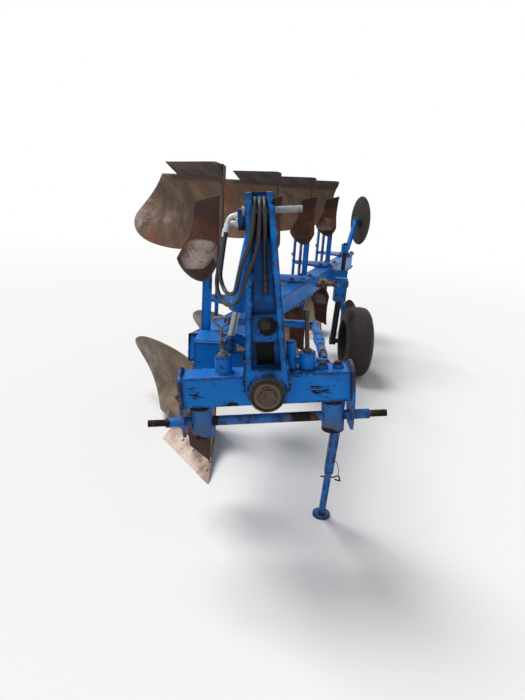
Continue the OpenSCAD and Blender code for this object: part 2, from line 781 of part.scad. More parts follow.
// Overall reach, from which the origin follows
left_reach = first_tip_x + board_point(board_form, board_length, board_high(board_length)).x;
right_reach = first_tip_x + 3 * furrow_width + clamp_right(clamp_rear);
rear_reach = first_tip_y + 3 * body_spacing + board_point(board_form, board_length, tail_low).y + 4;
nut_front = -34;
middle = [(left_reach + right_reach) / 2, (nut_front + rear_reach) / 2];

// Skimmers: small boards of the same kind, ahead of each body

// A profile rises from the edge, leans back, and then curls forward over itself; level lines
// carry it sideways and shorten towards both ends, which gives a spoon.
skimmer_angle = 50;
skimmer_wing = 70;
skimmer_wall = 235;
skimmer_run = 60;
skimmer_curl = 52;
skimmer_curl_angle = 140;
skimmer_thick = 8;
skimmer_columns = 8;
skimmer_rows = 13;
// Sideways place of each skimmer from its share tip
SKIMMER_X = [14, -6, -26, -46];

function skimmer_bend(t) = skimmer_curl_angle * max(0, 2 * t - 1);
function skimmer_depth(t) = skimmer_run * (1 - pow(1 - min(1, 2 * t), 2))
    - skimmer_curl * (1 - cos(skimmer_bend(t)));
function skimmer_reach(t) = skimmer_wall * min(1, 2 * t)
    + (skimmer_height - skimmer_wall) * sin(skimmer_bend(t));
function skimmer_span(t) = 134 + 52 * pow(sin(90 * min(1, 1.6 * t)), 2);
function skimmer_short(s) = 1 - 0.24 * pow(s > 0.36 ? (s - 0.36) / 0.64 : (0.36 - s) / 0.36, 2);
function skimmer_point(s, t) =
    let (end = pow(max(0, (t - 0.6) / 0.4), 2), u = 34 * end + s * (skimmer_span(t) - 66 * end),
         turn = skimmer_angle + (skimmer_wing - skimmer_angle) * min(1, 2 * t))
    [-u * sin(turn), skimmer_depth(t) + u * cos(turn),
     skimmer_reach(t) * skimmer_short(s) + 34 * s * (1 - min(1, 2 * t))];
function skimmer_normal(s, t) =
    let (a = max(0, s - 0.01), b = min(1, s + 0.01), c = max(0, t - 0.01), d = min(1, t + 0.01),
         n = cross(skimmer_point(s, d) - skimmer_point(s, c), skimmer_point(b, t) - skimmer_point(a, t)))
    n / norm(n);

function skimmer_back(s, t) = skimmer_point(s, t) - skimmer_thick * skimmer_normal(s, t);

module skimmer_sheet() {
    grid = [for (i = [0:skimmer_columns - 1], j = [0:skimmer_rows - 1])
        [i / (skimmer_columns - 1), j / (skimmer_rows - 1)]];
    front = [for (p = grid) skimmer_point(p.x, p.y)];
    back = [for (p = grid) skimmer_back(p.x, p.y)];
    polyhedron(points = concat(front, back), faces = sheet_faces(skimmer_columns, skimmer_rows));
}

module at_skimmer(i, upper) {
    at_body(i, upper)
        translate([SKIMMER_X[i], -skimmer_lead, upper ? skimmer_upper_base : skimmer_lower_base]) children();
}

module skimmers_lower() { color(rust) for (i = BODIES) at_skimmer(i, false) skimmer_sheet(); }
module skimmers_upper() { color(rust) for (i = BODIES) at_skimmer(i, true) skimmer_sheet(); }

stem_y = 112;

// The space in front of a plane that just touches the back of a skimmer behind its middle
module ahead_of_skimmer() {
    n = skimmer_normal(0.27, 0.38);
    seat_point = skimmer_back(0.27, 0.38);
    sunk = max([for (i = [1:3], j = [4:5])
        (seat_point - skimmer_back(i / (skimmer_columns - 1), j / (skimmer_rows - 1))) * n]);
    translate(seat_point - (sunk + seat) * n) towards(n) translate([-150, -150, 0]) cube([300, 300, 150]);
}

// A stem runs from the back of its skimmer to the face of the beam
module skimmer_stem(i, base) {
    rise = axis_height - base - beam_side / 2 - seat;
    stem_x = -44 - 0.2 * SKIMMER_X[i];
    translate([stem_x - stem_side / 2, stem_y - 12, 120]) cube([stem_side, stem_side, rise - 120]);
    difference() {
        translate([-62, 55, 150]) cube([42, stem_y - 40, 54]);
        ahead_of_skimmer();
    }
}

module skimmer_stems() {
    color(blue) for (i = BODIES) {
        at_skimmer(i, false) skimmer_stem(i, skimmer_lower_base);
        at_skimmer(i, true) skimmer_stem(i, skimmer_upper_base);
    }
}

// Depth wheel on its pendulum arm

arm_x = 725;
arm_width = 100;
hub_drop = axis_height - wheel_r;

module wheel_pivot() {
    start = beam_x(arm_pivot_y) + beam_side / 2 / cos(beam_angle);
    color(rust) on_frame() difference() {
        union() {
            translate([start - 30, arm_pivot_y, 0]) along_x(pivot_r + 12, 84);
            translate([start, arm_pivot_y, 0]) along_x(pivot_r, arm_x + arm_width / 2 + 12 - start);
        }
        beam_space(arm_pivot_y);
    }
}

module wheel_arm() {
    color(black) on_frame() {
        difference() {
            union() {
                translate([arm_x - arm_width / 2, arm_pivot_y, 0]) side_plate(arm_width) polygon([
                    [-44, 52], [44, 52], [58, -150], [-30, -150]]);
                translate([arm_x - 2, arm_pivot_y + 10, -120])
                    rod_between([0, 0, 0], [0, wheel_y - arm_pivot_y - 10, 120 - hub_drop], 26);
            }
            translate([arm_x - arm_width, arm_pivot_y, 0]) along_x(pivot_r + running, 2 * arm_width);
        }
        translate([arm_x - 28, wheel_y, -hub_drop]) along_x(36, 50);
        translate([arm_x, wheel_y, -hub_drop]) along_x(20, wheel_x - arm_x + 60);
    }
}

rim_r = 190;

module at_wheel() { on_frame() translate([wheel_x, wheel_y, -hub_drop]) rotate([0, 90, 0]) children(); }

module wheel_rim() {
    color(black) at_wheel() rotate_extrude($fn = 64) {
        edge = tyre_width / 2 - 24;
        polygon([[20 + running, -60], [48, -60], [48, -30], [rim_r - 8, -30], [rim_r - 8, -edge],
                 [rim_r, -edge], [rim_r, edge], [rim_r - 8, edge], [rim_r - 8, -18], [48, -18],
                 [48, 40], [20 + running, 40]]);
    }
}

module tyre() {
    half = tyre_width / 2;
    color(black) at_wheel() rotate_extrude($fn = 64) polygon([
        [rim_r + seat, -half + 24], [rim_r + 20, -half + 6], [wheel_r - 60, -half],
        [wheel_r - 22, -half + 14], [wheel_r - 4, -half + 50], [wheel_r, 0], [wheel_r - 4, half - 50],
        [wheel_r - 22, half - 14], [wheel_r - 60, half], [rim_r + 20, half - 6],
        [rim_r + seat, half - 24]]);
}

// Disc coulters ahead of the last body

stem_place = [825, 3100];
coulter_stem_half = 300;

module coulter_stem() {
    start = beam_x(stem_place.y) + beam_side / 2 / cos(beam_angle);
    color(black) on_frame() {
        translate([stem_place.x, stem_place.y, -coulter_stem_half])
            cylinder(r = 20, h = 2 * coulter_stem_half);
        difference() {
            translate([start - 30, stem_place.y - 45, -50]) cube([stem_place.x + 40 - start + 30, 90, 100]);
            beam_space(stem_place.y);
        }
    }
}

arm_sink = 250;
// The discs are toed in by this angle about the vertical
disc_toe = 12;

module coulter_arms() {
    color(blue) on_frame() for (side = [-1, 1]) mirror([0, 0, side < 0 ? 1 : 0]) {
        difference() {
            union() {
                translate([stem_place.x, stem_place.y, arm_sink - 40]) cylinder(r = 36, h = 80);
                rod_between([stem_place.x + 22, stem_place.y + 10, arm_sink],
                            [disc_x - 42 * cos(disc_toe), disc_y - 42 * sin(disc_toe), disc_rise], 23);
            }
            translate([stem_place.x, stem_place.y, arm_sink - 60]) cylinder(r = 20 + running, h = 120);
        }
        translate([disc_x, disc_y, disc_rise]) rotate([0, 0, disc_toe]) {
            translate([-56, 0, 0]) along_x(30, 30);
            translate([-40, 0, 0]) along_x(12, 62);
        }
    }
}

module disc(side) {
    color(rust) on_frame() translate([disc_x, disc_y, side * disc_rise]) rotate([0, 90, disc_toe])
        difference() {
        union() {
            translate([0, 0, -3]) cylinder(r = disc_r, h = 6, $fn = 72);
            translate([0, 0, -20]) cylinder(r = 50, h = 38);
        }
        translate([0, 0, -21]) cylinder(r = 12 + running, h = 41);
    }
}

module disc_lower() { disc(-1); }
module disc_upper() { disc(1); }

cross_tube();
bearing_housing();
mast();
link_bracket_left();
link_bracket_right();
lower_link_shaft();
top_link_pin();
stop_columns();
latch_pin();
hose_inner();
hose_outer();
hose_spare();
hose_couplings();
steel_pipes();
stand_tube();
stand_leg();
cylinder_barrel();
cylinder_rod();
turnover_shaft();
console();
main_beam();
adjusting_spindle();
leg_1();
leg_2();
leg_3();
leg_4();
mouldboard_lower_1();
mouldboard_lower_2();
mouldboard_lower_3();
mouldboard_lower_4();
mouldboard_upper_1();
mouldboard_upper_2();
mouldboard_upper_3();
mouldboard_upper_4();
shares_lower();
shares_upper();
landsides();
skimmers_lower();
skimmers_upper();
skimmer_stems();
wheel_pivot();
wheel_arm();
wheel_rim();
tyre();
coulter_stem();
coulter_arms();
disc_lower();
disc_upper();
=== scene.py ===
"""Dresses a mounted reversible plough in worn enamel, soil-polished boards, hoses and bolts.

All lengths are in metres. X points to the right seen from the tractor end, Y to the rear, Z up.
Every new piece is a surface worked out on a grid of two parameters, or a profile carried along a path.
"""

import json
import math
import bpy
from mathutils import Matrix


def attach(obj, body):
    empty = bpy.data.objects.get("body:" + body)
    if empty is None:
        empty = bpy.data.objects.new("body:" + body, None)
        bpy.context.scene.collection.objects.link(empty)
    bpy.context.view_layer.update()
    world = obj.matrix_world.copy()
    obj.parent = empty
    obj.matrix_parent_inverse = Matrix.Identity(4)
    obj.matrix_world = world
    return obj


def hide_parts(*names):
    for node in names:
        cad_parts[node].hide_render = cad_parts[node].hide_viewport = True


bl_info = {
    "name": "Reversible Plough",
    "version": (1, 0, 0),
    "blender": (4, 5, 0),
    "location": "View3D > Sidebar > Plough",
    "description": "Dresses a mounted reversible plough in worn enamel, polished boards, hoses and bolts",
    "category": "Object",
}

import bmesh
import bpy
import numpy as np
from mathutils import Matrix

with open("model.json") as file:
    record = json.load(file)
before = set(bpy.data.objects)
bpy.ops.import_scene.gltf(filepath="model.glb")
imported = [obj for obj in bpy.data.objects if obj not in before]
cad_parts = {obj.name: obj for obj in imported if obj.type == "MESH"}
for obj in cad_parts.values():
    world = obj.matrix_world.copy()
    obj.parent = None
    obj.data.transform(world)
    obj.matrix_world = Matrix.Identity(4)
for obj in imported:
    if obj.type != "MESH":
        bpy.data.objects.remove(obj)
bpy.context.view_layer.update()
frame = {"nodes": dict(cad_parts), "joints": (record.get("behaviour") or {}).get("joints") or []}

# The turnover axis meets the front face of the boss here
TURN = np.array(next(j for j in frame["joints"] if j["name"] == "turnover")["pos_m"])
BODY_COUNT = 4
SIDES = ((False, "lower"), (True, "upper"))
EACH_BODY = [(i, upper) for i in range(BODY_COUNT) for upper in (False, True)]
TAU = 2 * math.pi

# Middle of the cross tube behind the boss face, and how far to each side of the mast the stop columns and
# the upright bushes of the link brackets stand
CROSS_MID = 0.11
COLUMN_X, BUSH_X = 0.165, 0.265
# Half the mast's outer width at its foot and head, their heights above the turnover axis, and how far the
# inner faces of its side plates are from its edges
MAST_HALF, MAST_HEIGHT, MAST_INSET = (0.080, 0.0485), (0.060, 0.735), 0.0225
# Radius of the weld round the bearing housing
HOUSING_WELD = 0.0735
# Turnover cylinder: its plane behind the boss face, its two pins' distances from the turnover axis, the
# crank's angle from upright in degrees, and the places of its ports along the barrel
CYLINDER_Y, PIN_REACH, CRANK_REACH, CRANK_ANGLE = 0.300, 0.668, 0.186, 59
NEAR_PORT, FAR_PORT = 0.062, 0.366
# Share's end along its cutting edge, by the distance up its slope
SHARE_END = ((0.0, 0.632), (0.130, 0.700))
# Where the worn point of a lower (False) and an upper (True) share begins, by the distance up its slope,
# and the seam between point and wing
SHARE_WEAR = {False: ((0.0, 0.014), (0.016, 0.018), (0.040, 0.034), (0.075, 0.070)),
              True: ((0.0, 0.080), (0.016, 0.066), (0.040, 0.082), (0.075, 0.118))}
SHARE_SEAM = 0.150
# Each pair of skimmers' place sideways from its share tip, and how polished its bowl is, which also sets
# the strength of the painted highlight in each bowl
SKIMMER_X = (0.014, -0.006, -0.026, -0.046)
SKIMMER_POLISH_AND_HIGHLIGHT = (0.98, 0.60, 0.30, 0.75)
# Angle of the disc coulters to the way the machine goes
DISC_TOE = 12
# How much less polish the back of a sheet has than its front
BACK_POLISH = 1.2


# ---- Properties -------------------------------------------------------------------------------

def length_property(name, description, default):
    return bpy.props.FloatProperty(
        name=name, description=description, default=default, min=0, unit="LENGTH", precision=4)


def angle_property(name, description, degrees):
    return bpy.props.FloatProperty(
        name=name, description=description, default=math.radians(degrees), subtype="ANGLE", unit="ROTATION")


def colour_property(name, description, default):
    return bpy.props.FloatVectorProperty(
        name=name, description=description, default=default, size=3, min=0, max=1, subtype="COLOR")


class PloughLayout(bpy.types.PropertyGroup):
    furrow_width: length_property("Furrow width", "Sideways step from one body to the next", 0.350)
    body_spacing: length_property("Body spacing", "Lengthwise step from one body to the next", 0.950)
    first_tip_x: bpy.props.FloatProperty(
        name="First tip, sideways", description="First share tip from the turnover axis",
        default=-0.246, unit="LENGTH")
    first_tip_y: length_property("First tip, lengthwise", "First share tip behind the boss face", 0.726)
    headstock_lean: angle_property("Headstock lean", "Lean of the headstock about the turnover axis", 5.8)
    beam_side: length_property("Beam side", "Side of the square main beam", 0.130)
    beam_shift: length_property("Beam shift", "Beam to the right of the line through the share tips", 0.020)


class BoardSizes(bpy.types.PropertyGroup):
    share_width: length_property("Share width", "Width of a share up its slope", 0.130)
    share_lift: angle_property("Share lift", "Slope of a share", 30)
    share_angle: angle_property("Share angle", "Cutting edge to the furrow wall", 32)
    wing_angle: angle_property("Wing angle", "Top of a mouldboard to the furrow wall", 40)
    share_thickness: length_property("Share thickness", "Thickness of a share", 0.012)
    height: length_property("Height", "Height of a mouldboard above the share plane", 0.515)
    length: length_property("Length", "Length of a mouldboard from its shin to the tip of its tail", 1.135)
    thickness: length_property("Thickness", "Thickness of a mouldboard", 0.009)
    shin_run: length_property("Shin run", "Backward sweep between share and top", 0.265)
    shin_drop: length_property("Shin drop", "Drop of the top at the shin", 0.101)
    wing_start: length_property("Wing start", "Distance at which the lower edge starts to rise", 0.755)
    crest: length_property("Crest", "Distance of the highest point of the top", 0.600)
    tail_tip: length_property("Tail tip", "Height of the tip of the tail", 0.352)


class SkimmerSizes(bpy.types.PropertyGroup):
    upper_base: length_property("Upper base", "An upper skimmer's edge under its share plane", 0.143)
    lower_base: length_property("Lower base", "A lower skimmer's edge above its share plane", 0.300)
    height: length_property("Height", "Height of a skimmer", 0.370)
    lead: length_property("Lead", "Skimmer's point ahead of the share tip", 0.260)
    thickness: length_property("Thickness", "Thickness of a skimmer", 0.008)
    wall: length_property("Wall", "Height of the upright part", 0.235)
    lean: length_property("Lean", "Backward lean of the upright part", 0.060)
    curl: length_property("Curl", "Radius of the curled part", 0.052)


class PloughColours(bpy.types.PropertyGroup):
    enamel: colour_property("Enamel", "Blue enamel", (0.0005, 0.160, 0.560))
    black: colour_property("Black", "Black paint", (0.022, 0.022, 0.026))
    rust: colour_property("Rust", "Bare rust", (0.150, 0.058, 0.030))
    dark: colour_property("Primer", "Dark metal under chipped paint", (0.012, 0.010, 0.011))
    soil: colour_property("Soil steel", "Brown steel after a season in the soil", (0.118, 0.074, 0.050))
    orange: colour_property("Orange rust", "Fresh rust in patches", (0.230, 0.085, 0.034))
    polish: colour_property("Polished steel", "Steel polished by the soil", (0.310, 0.285, 0.265))
    dust: colour_property("Dust", "Dry soil dust", (0.330, 0.260, 0.190))
    hose: colour_property("Hose", "Black hose rubber", (0.018, 0.018, 0.020))
    zinc: colour_property("Zinc", "Galvanised steel", (0.680, 0.690, 0.680))
    tyre: colour_property("Tyre", "Dusty worn tyre", (0.022, 0.016, 0.015))


# ---- Places -----------------------------------------------------------------------------------

def on_frame(points):
    """Points counted from the turnover axis at the boss face, moved there."""
    return np.asarray(points, float) + TURN


def on_headstock(points):
    """Points of the leaning headstock: turned about the turnover axis by the lean, then moved there."""
    p = np.asarray(points, float)
    lean = bpy.context.scene.plough_layout.headstock_lean
    c, s = math.cos(lean), math.sin(lean)
    turned = np.stack([p[..., 0] * c - p[..., 2] * s, p[..., 1], p[..., 0] * s + p[..., 2] * c], -1)
    return turned + TURN


def leaning(way):
    """A direction of the headstock."""
    return on_headstock(way) - on_headstock((0, 0, 0))


def at_body(points, i, upper):
    """Points of a plough body with its share tip at the origin; the upper set is mirrored in the axis."""
    layout = bpy.context.scene.plough_layout
    p = np.array(points, float)
    if upper:
        p[..., 2] = 2 * TURN[2] - p[..., 2]
    p[..., 0] += TURN[0] + layout.first_tip_x + i * layout.furrow_width
    p[..., 1] += TURN[1] + layout.first_tip_y + i * layout.body_spacing
    return p


def beam_x(y):
    """Sideways place of the beam's middle at a distance behind the boss face, from the turnover axis."""
    layout = bpy.context.scene.plough_layout
    slope = layout.furrow_width / layout.body_spacing
    return layout.first_tip_x + layout.beam_shift + (y - layout.first_tip_y) * slope


# ---- Grids and meshes -------------------------------------------------------------------------

def grid_faces(rows, columns, around=False, along=False):
    """Quads between neighbours of a rows by columns grid; around and along close it on itself."""
    i, j = np.meshgrid(np.arange(rows if along else rows - 1),
                       np.arange(columns if around else columns - 1), indexing="ij")
    i2, j2 = (i + 1) % rows, (j + 1) % columns
    corners = [row * columns + column for row, column in ((i, j), (i, j2), (i2, j2), (i2, j))]
    return np.stack(corners, -1).reshape(-1, 4)


def rows_to_shape(points, around=True, along=False):
    """A grid of points (rows, columns, 3) as flat points and quads."""
    rows, columns = points.shape[:2]
    return points.reshape(-1, 3), grid_faces(rows, columns, around, along)


def put_bolts(name, size, places, ways, body="plough_frame", head=1.0, finish="rusty"):
    """One object of equal bolt heads at the places, each standing along its way."""
    return put_piece(name, repeated(bolt_shape(size, head), places, ways), finish, body)


def joined(shapes):
    """Several (points, faces) as one."""
    shapes = list(shapes)
    starts = np.cumsum([0] + [len(p) for p, f in shapes])[:-1]
    return np.vstack([p for p, f in shapes]), np.vstack([f + s for (p, f), s in zip(shapes, starts)])


def put_piece(name, shape, finish, body, replaces=(), bevel=0.0, values=None, sharp=40):
    """Makes one object of a closed shape: doubles merged, normals outward, smooth but for sharp edges."""
    points, faces = shape
    mesh = bpy.data.meshes.new(name)
    mesh.from_pydata(points.tolist(), [], faces.tolist())
    for key, numbers in (values or {}).items():
        layer = mesh.attributes.new(key, "FLOAT", "POINT")
        layer.data.foreach_set("value", np.asarray(numbers, np.float32).ravel())
    work = bmesh.new()
    work.from_mesh(mesh)
    bmesh.ops.remove_doubles(work, verts=work.verts, dist=1e-6)
    bmesh.ops.dissolve_degenerate(work, edges=work.edges, dist=1e-7)
    bmesh.ops.recalc_face_normals(work, faces=work.faces)
    work.to_mesh(mesh)
    work.free()
    mesh.shade_smooth()
    mesh.set_sharp_from_angle(angle=math.radians(sharp))
    mesh.materials.append(FINISHES[finish])
    piece = bpy.data.objects.new(name, mesh)
    bpy.context.scene.collection.objects.link(piece)
    if bevel:
        rounding = piece.modifiers.new("Rounded edges", "BEVEL")
        rounding.width = bevel
        rounding.segments = 2
        rounding.limit_method = "ANGLE"
        rounding.angle_limit = math.radians(35)
        rounding.harden_normals = True
    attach(piece, body)
    if replaces:
        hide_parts(*replaces)
    return piece


def unit(v):
    """Vectors of length one."""
    return v / np.maximum(np.linalg.norm(v, axis=-1, keepdims=True), 1e-12)


def full_turn(steps):
    """Equal steps of one whole turn, the last one short of the start."""
    return np.linspace(0, TAU, steps, endpoint=False)


def round_axis(turn, radius, level, axis):
    """Points at the given turns of a circle about an axis (0 is X, 1 is Y, 2 is Z), at a level along
    it."""
    parts = [radius * np.cos(turn), radius * np.sin(turn)]
    parts.insert(axis, np.broadcast_to(level, parts[0].shape))
    return np.stack(parts, -1)


def across(way):
    """Two unit vectors square to each way and to each other."""
    helper = np.where(np.abs(way[..., :1]) > 0.85, [[0.0, 1.0, 0.0]], [[1.0, 0.0, 0.0]])
    a = unit(np.cross(way, helper))
    return a, np.cross(way, a)


def steady(way):
    """Two unit vectors square to each way of one route, from the axis that the route keeps clear of."""
    helper = np.eye(3)[np.argmin(np.abs(way).max(axis=0))]
    a = unit(np.cross(way, helper))
    return a, np.cross(way, a)


def tube(path, radius, sides=16, closed=False):
    """A circle carried along the path and closed at both ends; radius is one number or one per point."""
    path = np.asarray(path, float)
    radius = np.broadcast_to(np.asarray(radius, float), (len(path),))
    if closed:
        way = unit(np.roll(path, -1, 0) - np.roll(path, 1, 0))
    else:
        way = unit(np.gradient(path, axis=0))
    a, b = steady(way)
    turn = full_turn(sides)
    rings = path[:, None] + radius[:, None, None] * (
        np.cos(turn)[None, :, None] * a[:, None] + np.sin(turn)[None, :, None] * b[:, None])
    if not closed:
        first, last = (np.repeat(end, sides, 1) for end in (path[:1, None], path[-1:, None]))
        rings = np.concatenate([first, rings, last])
    return rows_to_shape(rings, True, closed)


def lathe(profile, origin, way, steps=48, shape_of=None):
    """A profile of (radius, distance) pairs turned about the line from origin along way. shape_of(turn)
    gives, for each row, a factor on the radius round the turn, such as a hexagon's."""
    profile = np.asarray(profile, float)
    way = unit(np.asarray(way, float))
    a, b = across(way[None])
    turn = full_turn(steps)
    factor = np.ones((len(profile), steps)) if shape_of is None else shape_of(turn)
    spoke = np.cos(turn)[:, None] * a + np.sin(turn)[:, None] * b
    points = (np.asarray(origin, float) + profile[:, None, 1:2] * way
              + (profile[:, :1] * factor)[..., None] * spoke[None])
    return rows_to_shape(points)


def ring(profile, middle, axis, steps=72):
    """A closed profile of (radius, distance) pairs turned about an axis, closed on itself both ways."""
    p = np.asarray(profile, float)
    points = round_axis(full_turn(steps), p[:, :1], p[:, 1:2], axis)
    return rows_to_shape(np.asarray(middle) + points, True, True)


def rounded_route(route, steps=6):
    """A Catmull-Rom curve through the route's points: on each stretch a cubic of its four nearest
    points."""
    p = np.asarray(route, float)
    p = np.vstack([2 * p[0] - p[1], p, 2 * p[-1] - p[-2]])
    t = np.linspace(0, 1, steps, endpoint=False)[None, :, None]
    a, b, c, d = (p[k:len(p) - 3 + k, None] for k in range(4))
    curve = 0.5 * (2 * b + (c - a) * t + (2 * a - 5 * b + 4 * c - d) * t ** 2
                   + (3 * b - a - 3 * c + d) * t ** 3)
    return np.vstack([curve.reshape(-1, 3), p[-2]])


def bend_route(corners, radius, steps=8):
    """Straight runs between corners, each inner corner replaced by a quadratic curve that starts and ends
    one radius away from it."""
    c = np.asarray(corners, float)
    before = c[1:-1] + unit(c[:-2] - c[1:-1]) * radius
    after = c[1:-1] + unit(c[2:] - c[1:-1]) * radius
    t = np.linspace(0, 1, steps)[None, :, None]
    curve = (1 - t) ** 2 * before[:, None] + 2 * t * (1 - t) * c[1:-1, None] + t ** 2 * after[:, None]
    return np.vstack([c[:1], curve.reshape(-1, 3), c[-1:]])


def weld(path, radius=0.0045, pitch=0.008):
    """A weld bead: a small circle carried along the path, its radius swelling once for each ripple and
    tapering at both ends."""
    path = np.asarray(path, float)
    lengths = np.concatenate([[0], np.cumsum(np.linalg.norm(np.diff(path, axis=0), axis=1))])
    s = np.linspace(0, lengths[-1], max(10, int(4 * lengths[-1] / pitch)))
    points = np.stack([np.interp(s, lengths, path[:, k]) for k in range(3)], -1)
    swell = 1 + 0.16 * np.cos(TAU * s / pitch) + 0.07 * np.sin(TAU * s / (3.7 * pitch))
    taper = np.minimum(1, (np.minimum(s, s[-1] - s) + 0.002) / 0.008) ** 0.5
    return tube(points, radius * swell * taper, 8)


def slab(outline, push):
    """A plate: the outline's loop carried by one step, both faces filled from their middles."""
    loop, push = np.asarray(outline, float), np.asarray(push, float)
    middle = np.repeat(loop.mean(0)[None], len(loop), 0)
    return rows_to_shape(np.stack([middle, loop, loop + push, middle + push]))


def hexagon(turn):
    """Radius of a hexagon over the radius of its inner circle, round the turn."""
    return 1 / np.cos((turn + math.pi / 6) % (math.pi / 3) - math.pi / 6)


def hexed(shares):
    """For lathe: how much of a hexagon each row of a profile is, 0 for round and 1 for full flats."""
    return lambda turn: 1 + (hexagon(turn)[None] - 1) * np.array(shares)[:, None]


def bolt_shape(size, head=1.0):
    """A washer with a hexagon head on it, standing along +Z; size is half the width across the flats."""
    rows = np.array([[0.0, -0.6], [1.5, -0.6], [1.5, 0.26], [1.44, 0.34], [0.98, 0.34], [1.0, 0.36],
                     [1.0, 1.05 * head], [0.86, 1.25 * head], [0.0, 1.25 * head]]) * size
    return lathe(rows, (0, 0, 0), (0, 0, 1), 24, hexed([0, 0, 0, 0, 0.9, 1, 1, 0.35, 0]))


def repeated(shape, places, ways):
    """Copies of a small shape, its +Z turned to each way and its origin moved to each place."""
    points, faces = shape
    places = np.asarray(places, float)
    w = unit(np.broadcast_to(np.asarray(ways, float), places.shape))
    a, b = across(w)
    matrix = np.stack([a, b, w], -1)
    moved = np.einsum("kij,nj->kni", matrix, points) + places[:, None]
    many = faces[None] + (np.arange(len(places)) * len(points))[:, None, None]
    return moved.reshape(-1, 3), many.reshape(-1, 4)


# ---- Materials --------------------------------------------------------------------------------

class Nodes:
    """A node tree under construction: add() makes a node and joins its sockets."""

    def __init__(self, owner):
        owner.use_nodes = True
        self.tree = owner.node_tree
        self.tree.nodes.clear()

    def add(self, kind, sockets=None, **settings):
        """A node with its sockets set to numbers or joined to other sockets."""
        node = self.tree.nodes.new(kind)
        for key, value in settings.items():
            setattr(node, key, value)
        for key, value in (sockets or {}).items():
            if isinstance(value, bpy.types.NodeSocket):
                self.tree.links.new(value, node.inputs[key])
            else:
                node.inputs[key].default_value = value
        return node

    def maths(self, operation, a, b=0.0, clamp=False):
        """One operation on two numbers or sockets."""
        return self.add("ShaderNodeMath", {0: a, 1: b}, operation=operation, use_clamp=clamp).outputs[0]

    def times(self, a, b):
        """The product."""
        return self.maths("MULTIPLY", a, b)

    def plus(self, a, b):
        """The sum."""
        return self.maths("ADD", a, b)

    def most(self, a, b):
        """The larger of the two."""
        return self.maths("MAXIMUM", a, b)

    def direct(self):
        """1 for what the camera sees itself, mirrored or through glass, 0 for light to other places."""
        rays = self.add("ShaderNodeLightPath").outputs
        seen = self.most(rays["Is Camera Ray"], rays["Is Glossy Ray"])
        return self.most(seen, rays["Is Transmission Ray"])


class Finish(Nodes):
    """A procedural material under construction."""

    def __init__(self, name, metallic=0.0, specular=0.5):
        self.material = bpy.data.materials.new(name)
        super().__init__(self.material)
        self.shader = self.add("ShaderNodeBsdfPrincipled", {
            "Metallic": metallic, "Specular IOR Level": specular})
        self.output = self.add("ShaderNodeOutputMaterial", {"Surface": self.shader.outputs[0]})
        self.place = self.add("ShaderNodeTexCoord").outputs["Object"]
        self.normal = self.add("ShaderNodeNewGeometry").outputs["Normal"]

    def noise(self, scale, detail=5.0, roughness=0.55, place=None):
        """Cloudy noise from about 0.2 to 0.8 with a scale per metre."""
        sockets = {"Vector": place or self.place, "Scale": scale, "Detail": detail, "Roughness": roughness}
        return self.add("ShaderNodeTexNoise", sockets).outputs["Fac"]

    def stretched(self, scale, place=None):
        """The place with each axis scaled, which draws a noise out along the smaller scales."""
        sockets = {"Vector": place or self.place, "Scale": scale}
        return self.add("ShaderNodeMapping", sockets).outputs["Vector"]

    def swing(self, value, reach):
        """A pattern from 0 to 1 made to swing about 0, reach from end to end."""
        return self.times(self.maths("SUBTRACT", value, 0.5), reach)

    def between(self, value, low, high):
        """0 below low, 1 above high, smooth between."""
        return self.add("ShaderNodeMapRange", {"Value": value, "From Min": low, "From Max": high},
                        interpolation_type="SMOOTHSTEP").outputs["Result"]

    def mix(self, factor, a, b):
        """Colour a where factor is 0, colour b where it is 1."""
        node = self.add("ShaderNodeMix", data_type="RGBA")
        for socket, value in ((node.inputs[0], factor), (node.inputs[6], a), (node.inputs[7], b)):
            if isinstance(value, bpy.types.NodeSocket):
                self.tree.links.new(value, socket)
            elif hasattr(value, "__len__"):
                socket.default_value = (*value[:3], 1)
            else:
                socket.default_value = value
        return node.outputs[2]

    def edge_wear(self, radius):
        """How far the surface turns within a small radius, which is large at edges and welds."""
        rounded = self.add("ShaderNodeBevel", {"Radius": radius}, samples=4).outputs["Normal"]
        facing = self.add("ShaderNodeVectorMath", {0: rounded, 1: self.normal}, operation="DOT_PRODUCT")
        return self.maths("SUBTRACT", 1.0, facing.outputs["Value"])

    def region(self, middle, reach):
        """1 in the middle of an ellipsoid on the headstock, 0 at its surface; reach is its half lengths."""
        aside, scale = tuple(-on_headstock(middle)), tuple(1 / np.asarray(reach))
        moved = self.add("ShaderNodeVectorMath", {0: self.place, 1: aside}, operation="ADD")
        scaled = self.add("ShaderNodeVectorMath", {0: moved.outputs[0], 1: scale}, operation="MULTIPLY")
        size = self.add("ShaderNodeVectorMath", {0: scaled.outputs[0]}, operation="LENGTH").outputs["Value"]
        return self.between(size, 1.0, 0.25)

    def upward(self):
        """1 on level tops, 0 on walls, -1 on undersides."""
        return self.add("ShaderNodeSeparateXYZ", {0: self.normal}).outputs["Z"]

    def attribute(self, name):
        """A number that the piece carries at its points."""
        return self.add("ShaderNodeAttribute", attribute_name=name).outputs["Fac"]

    def finish(self, colour, roughness, height, strength=0.3, distance=0.002):
        """Joins colour, roughness and bump to the shader."""
        bump = self.add("ShaderNodeBump", {"Height": height, "Strength": strength, "Distance": distance})
        for key, value in (("Base Color", colour), ("Roughness", roughness),
                           ("Normal", bump.outputs["Normal"])):
            self.tree.links.new(value, self.shader.inputs[key])
        return self.material


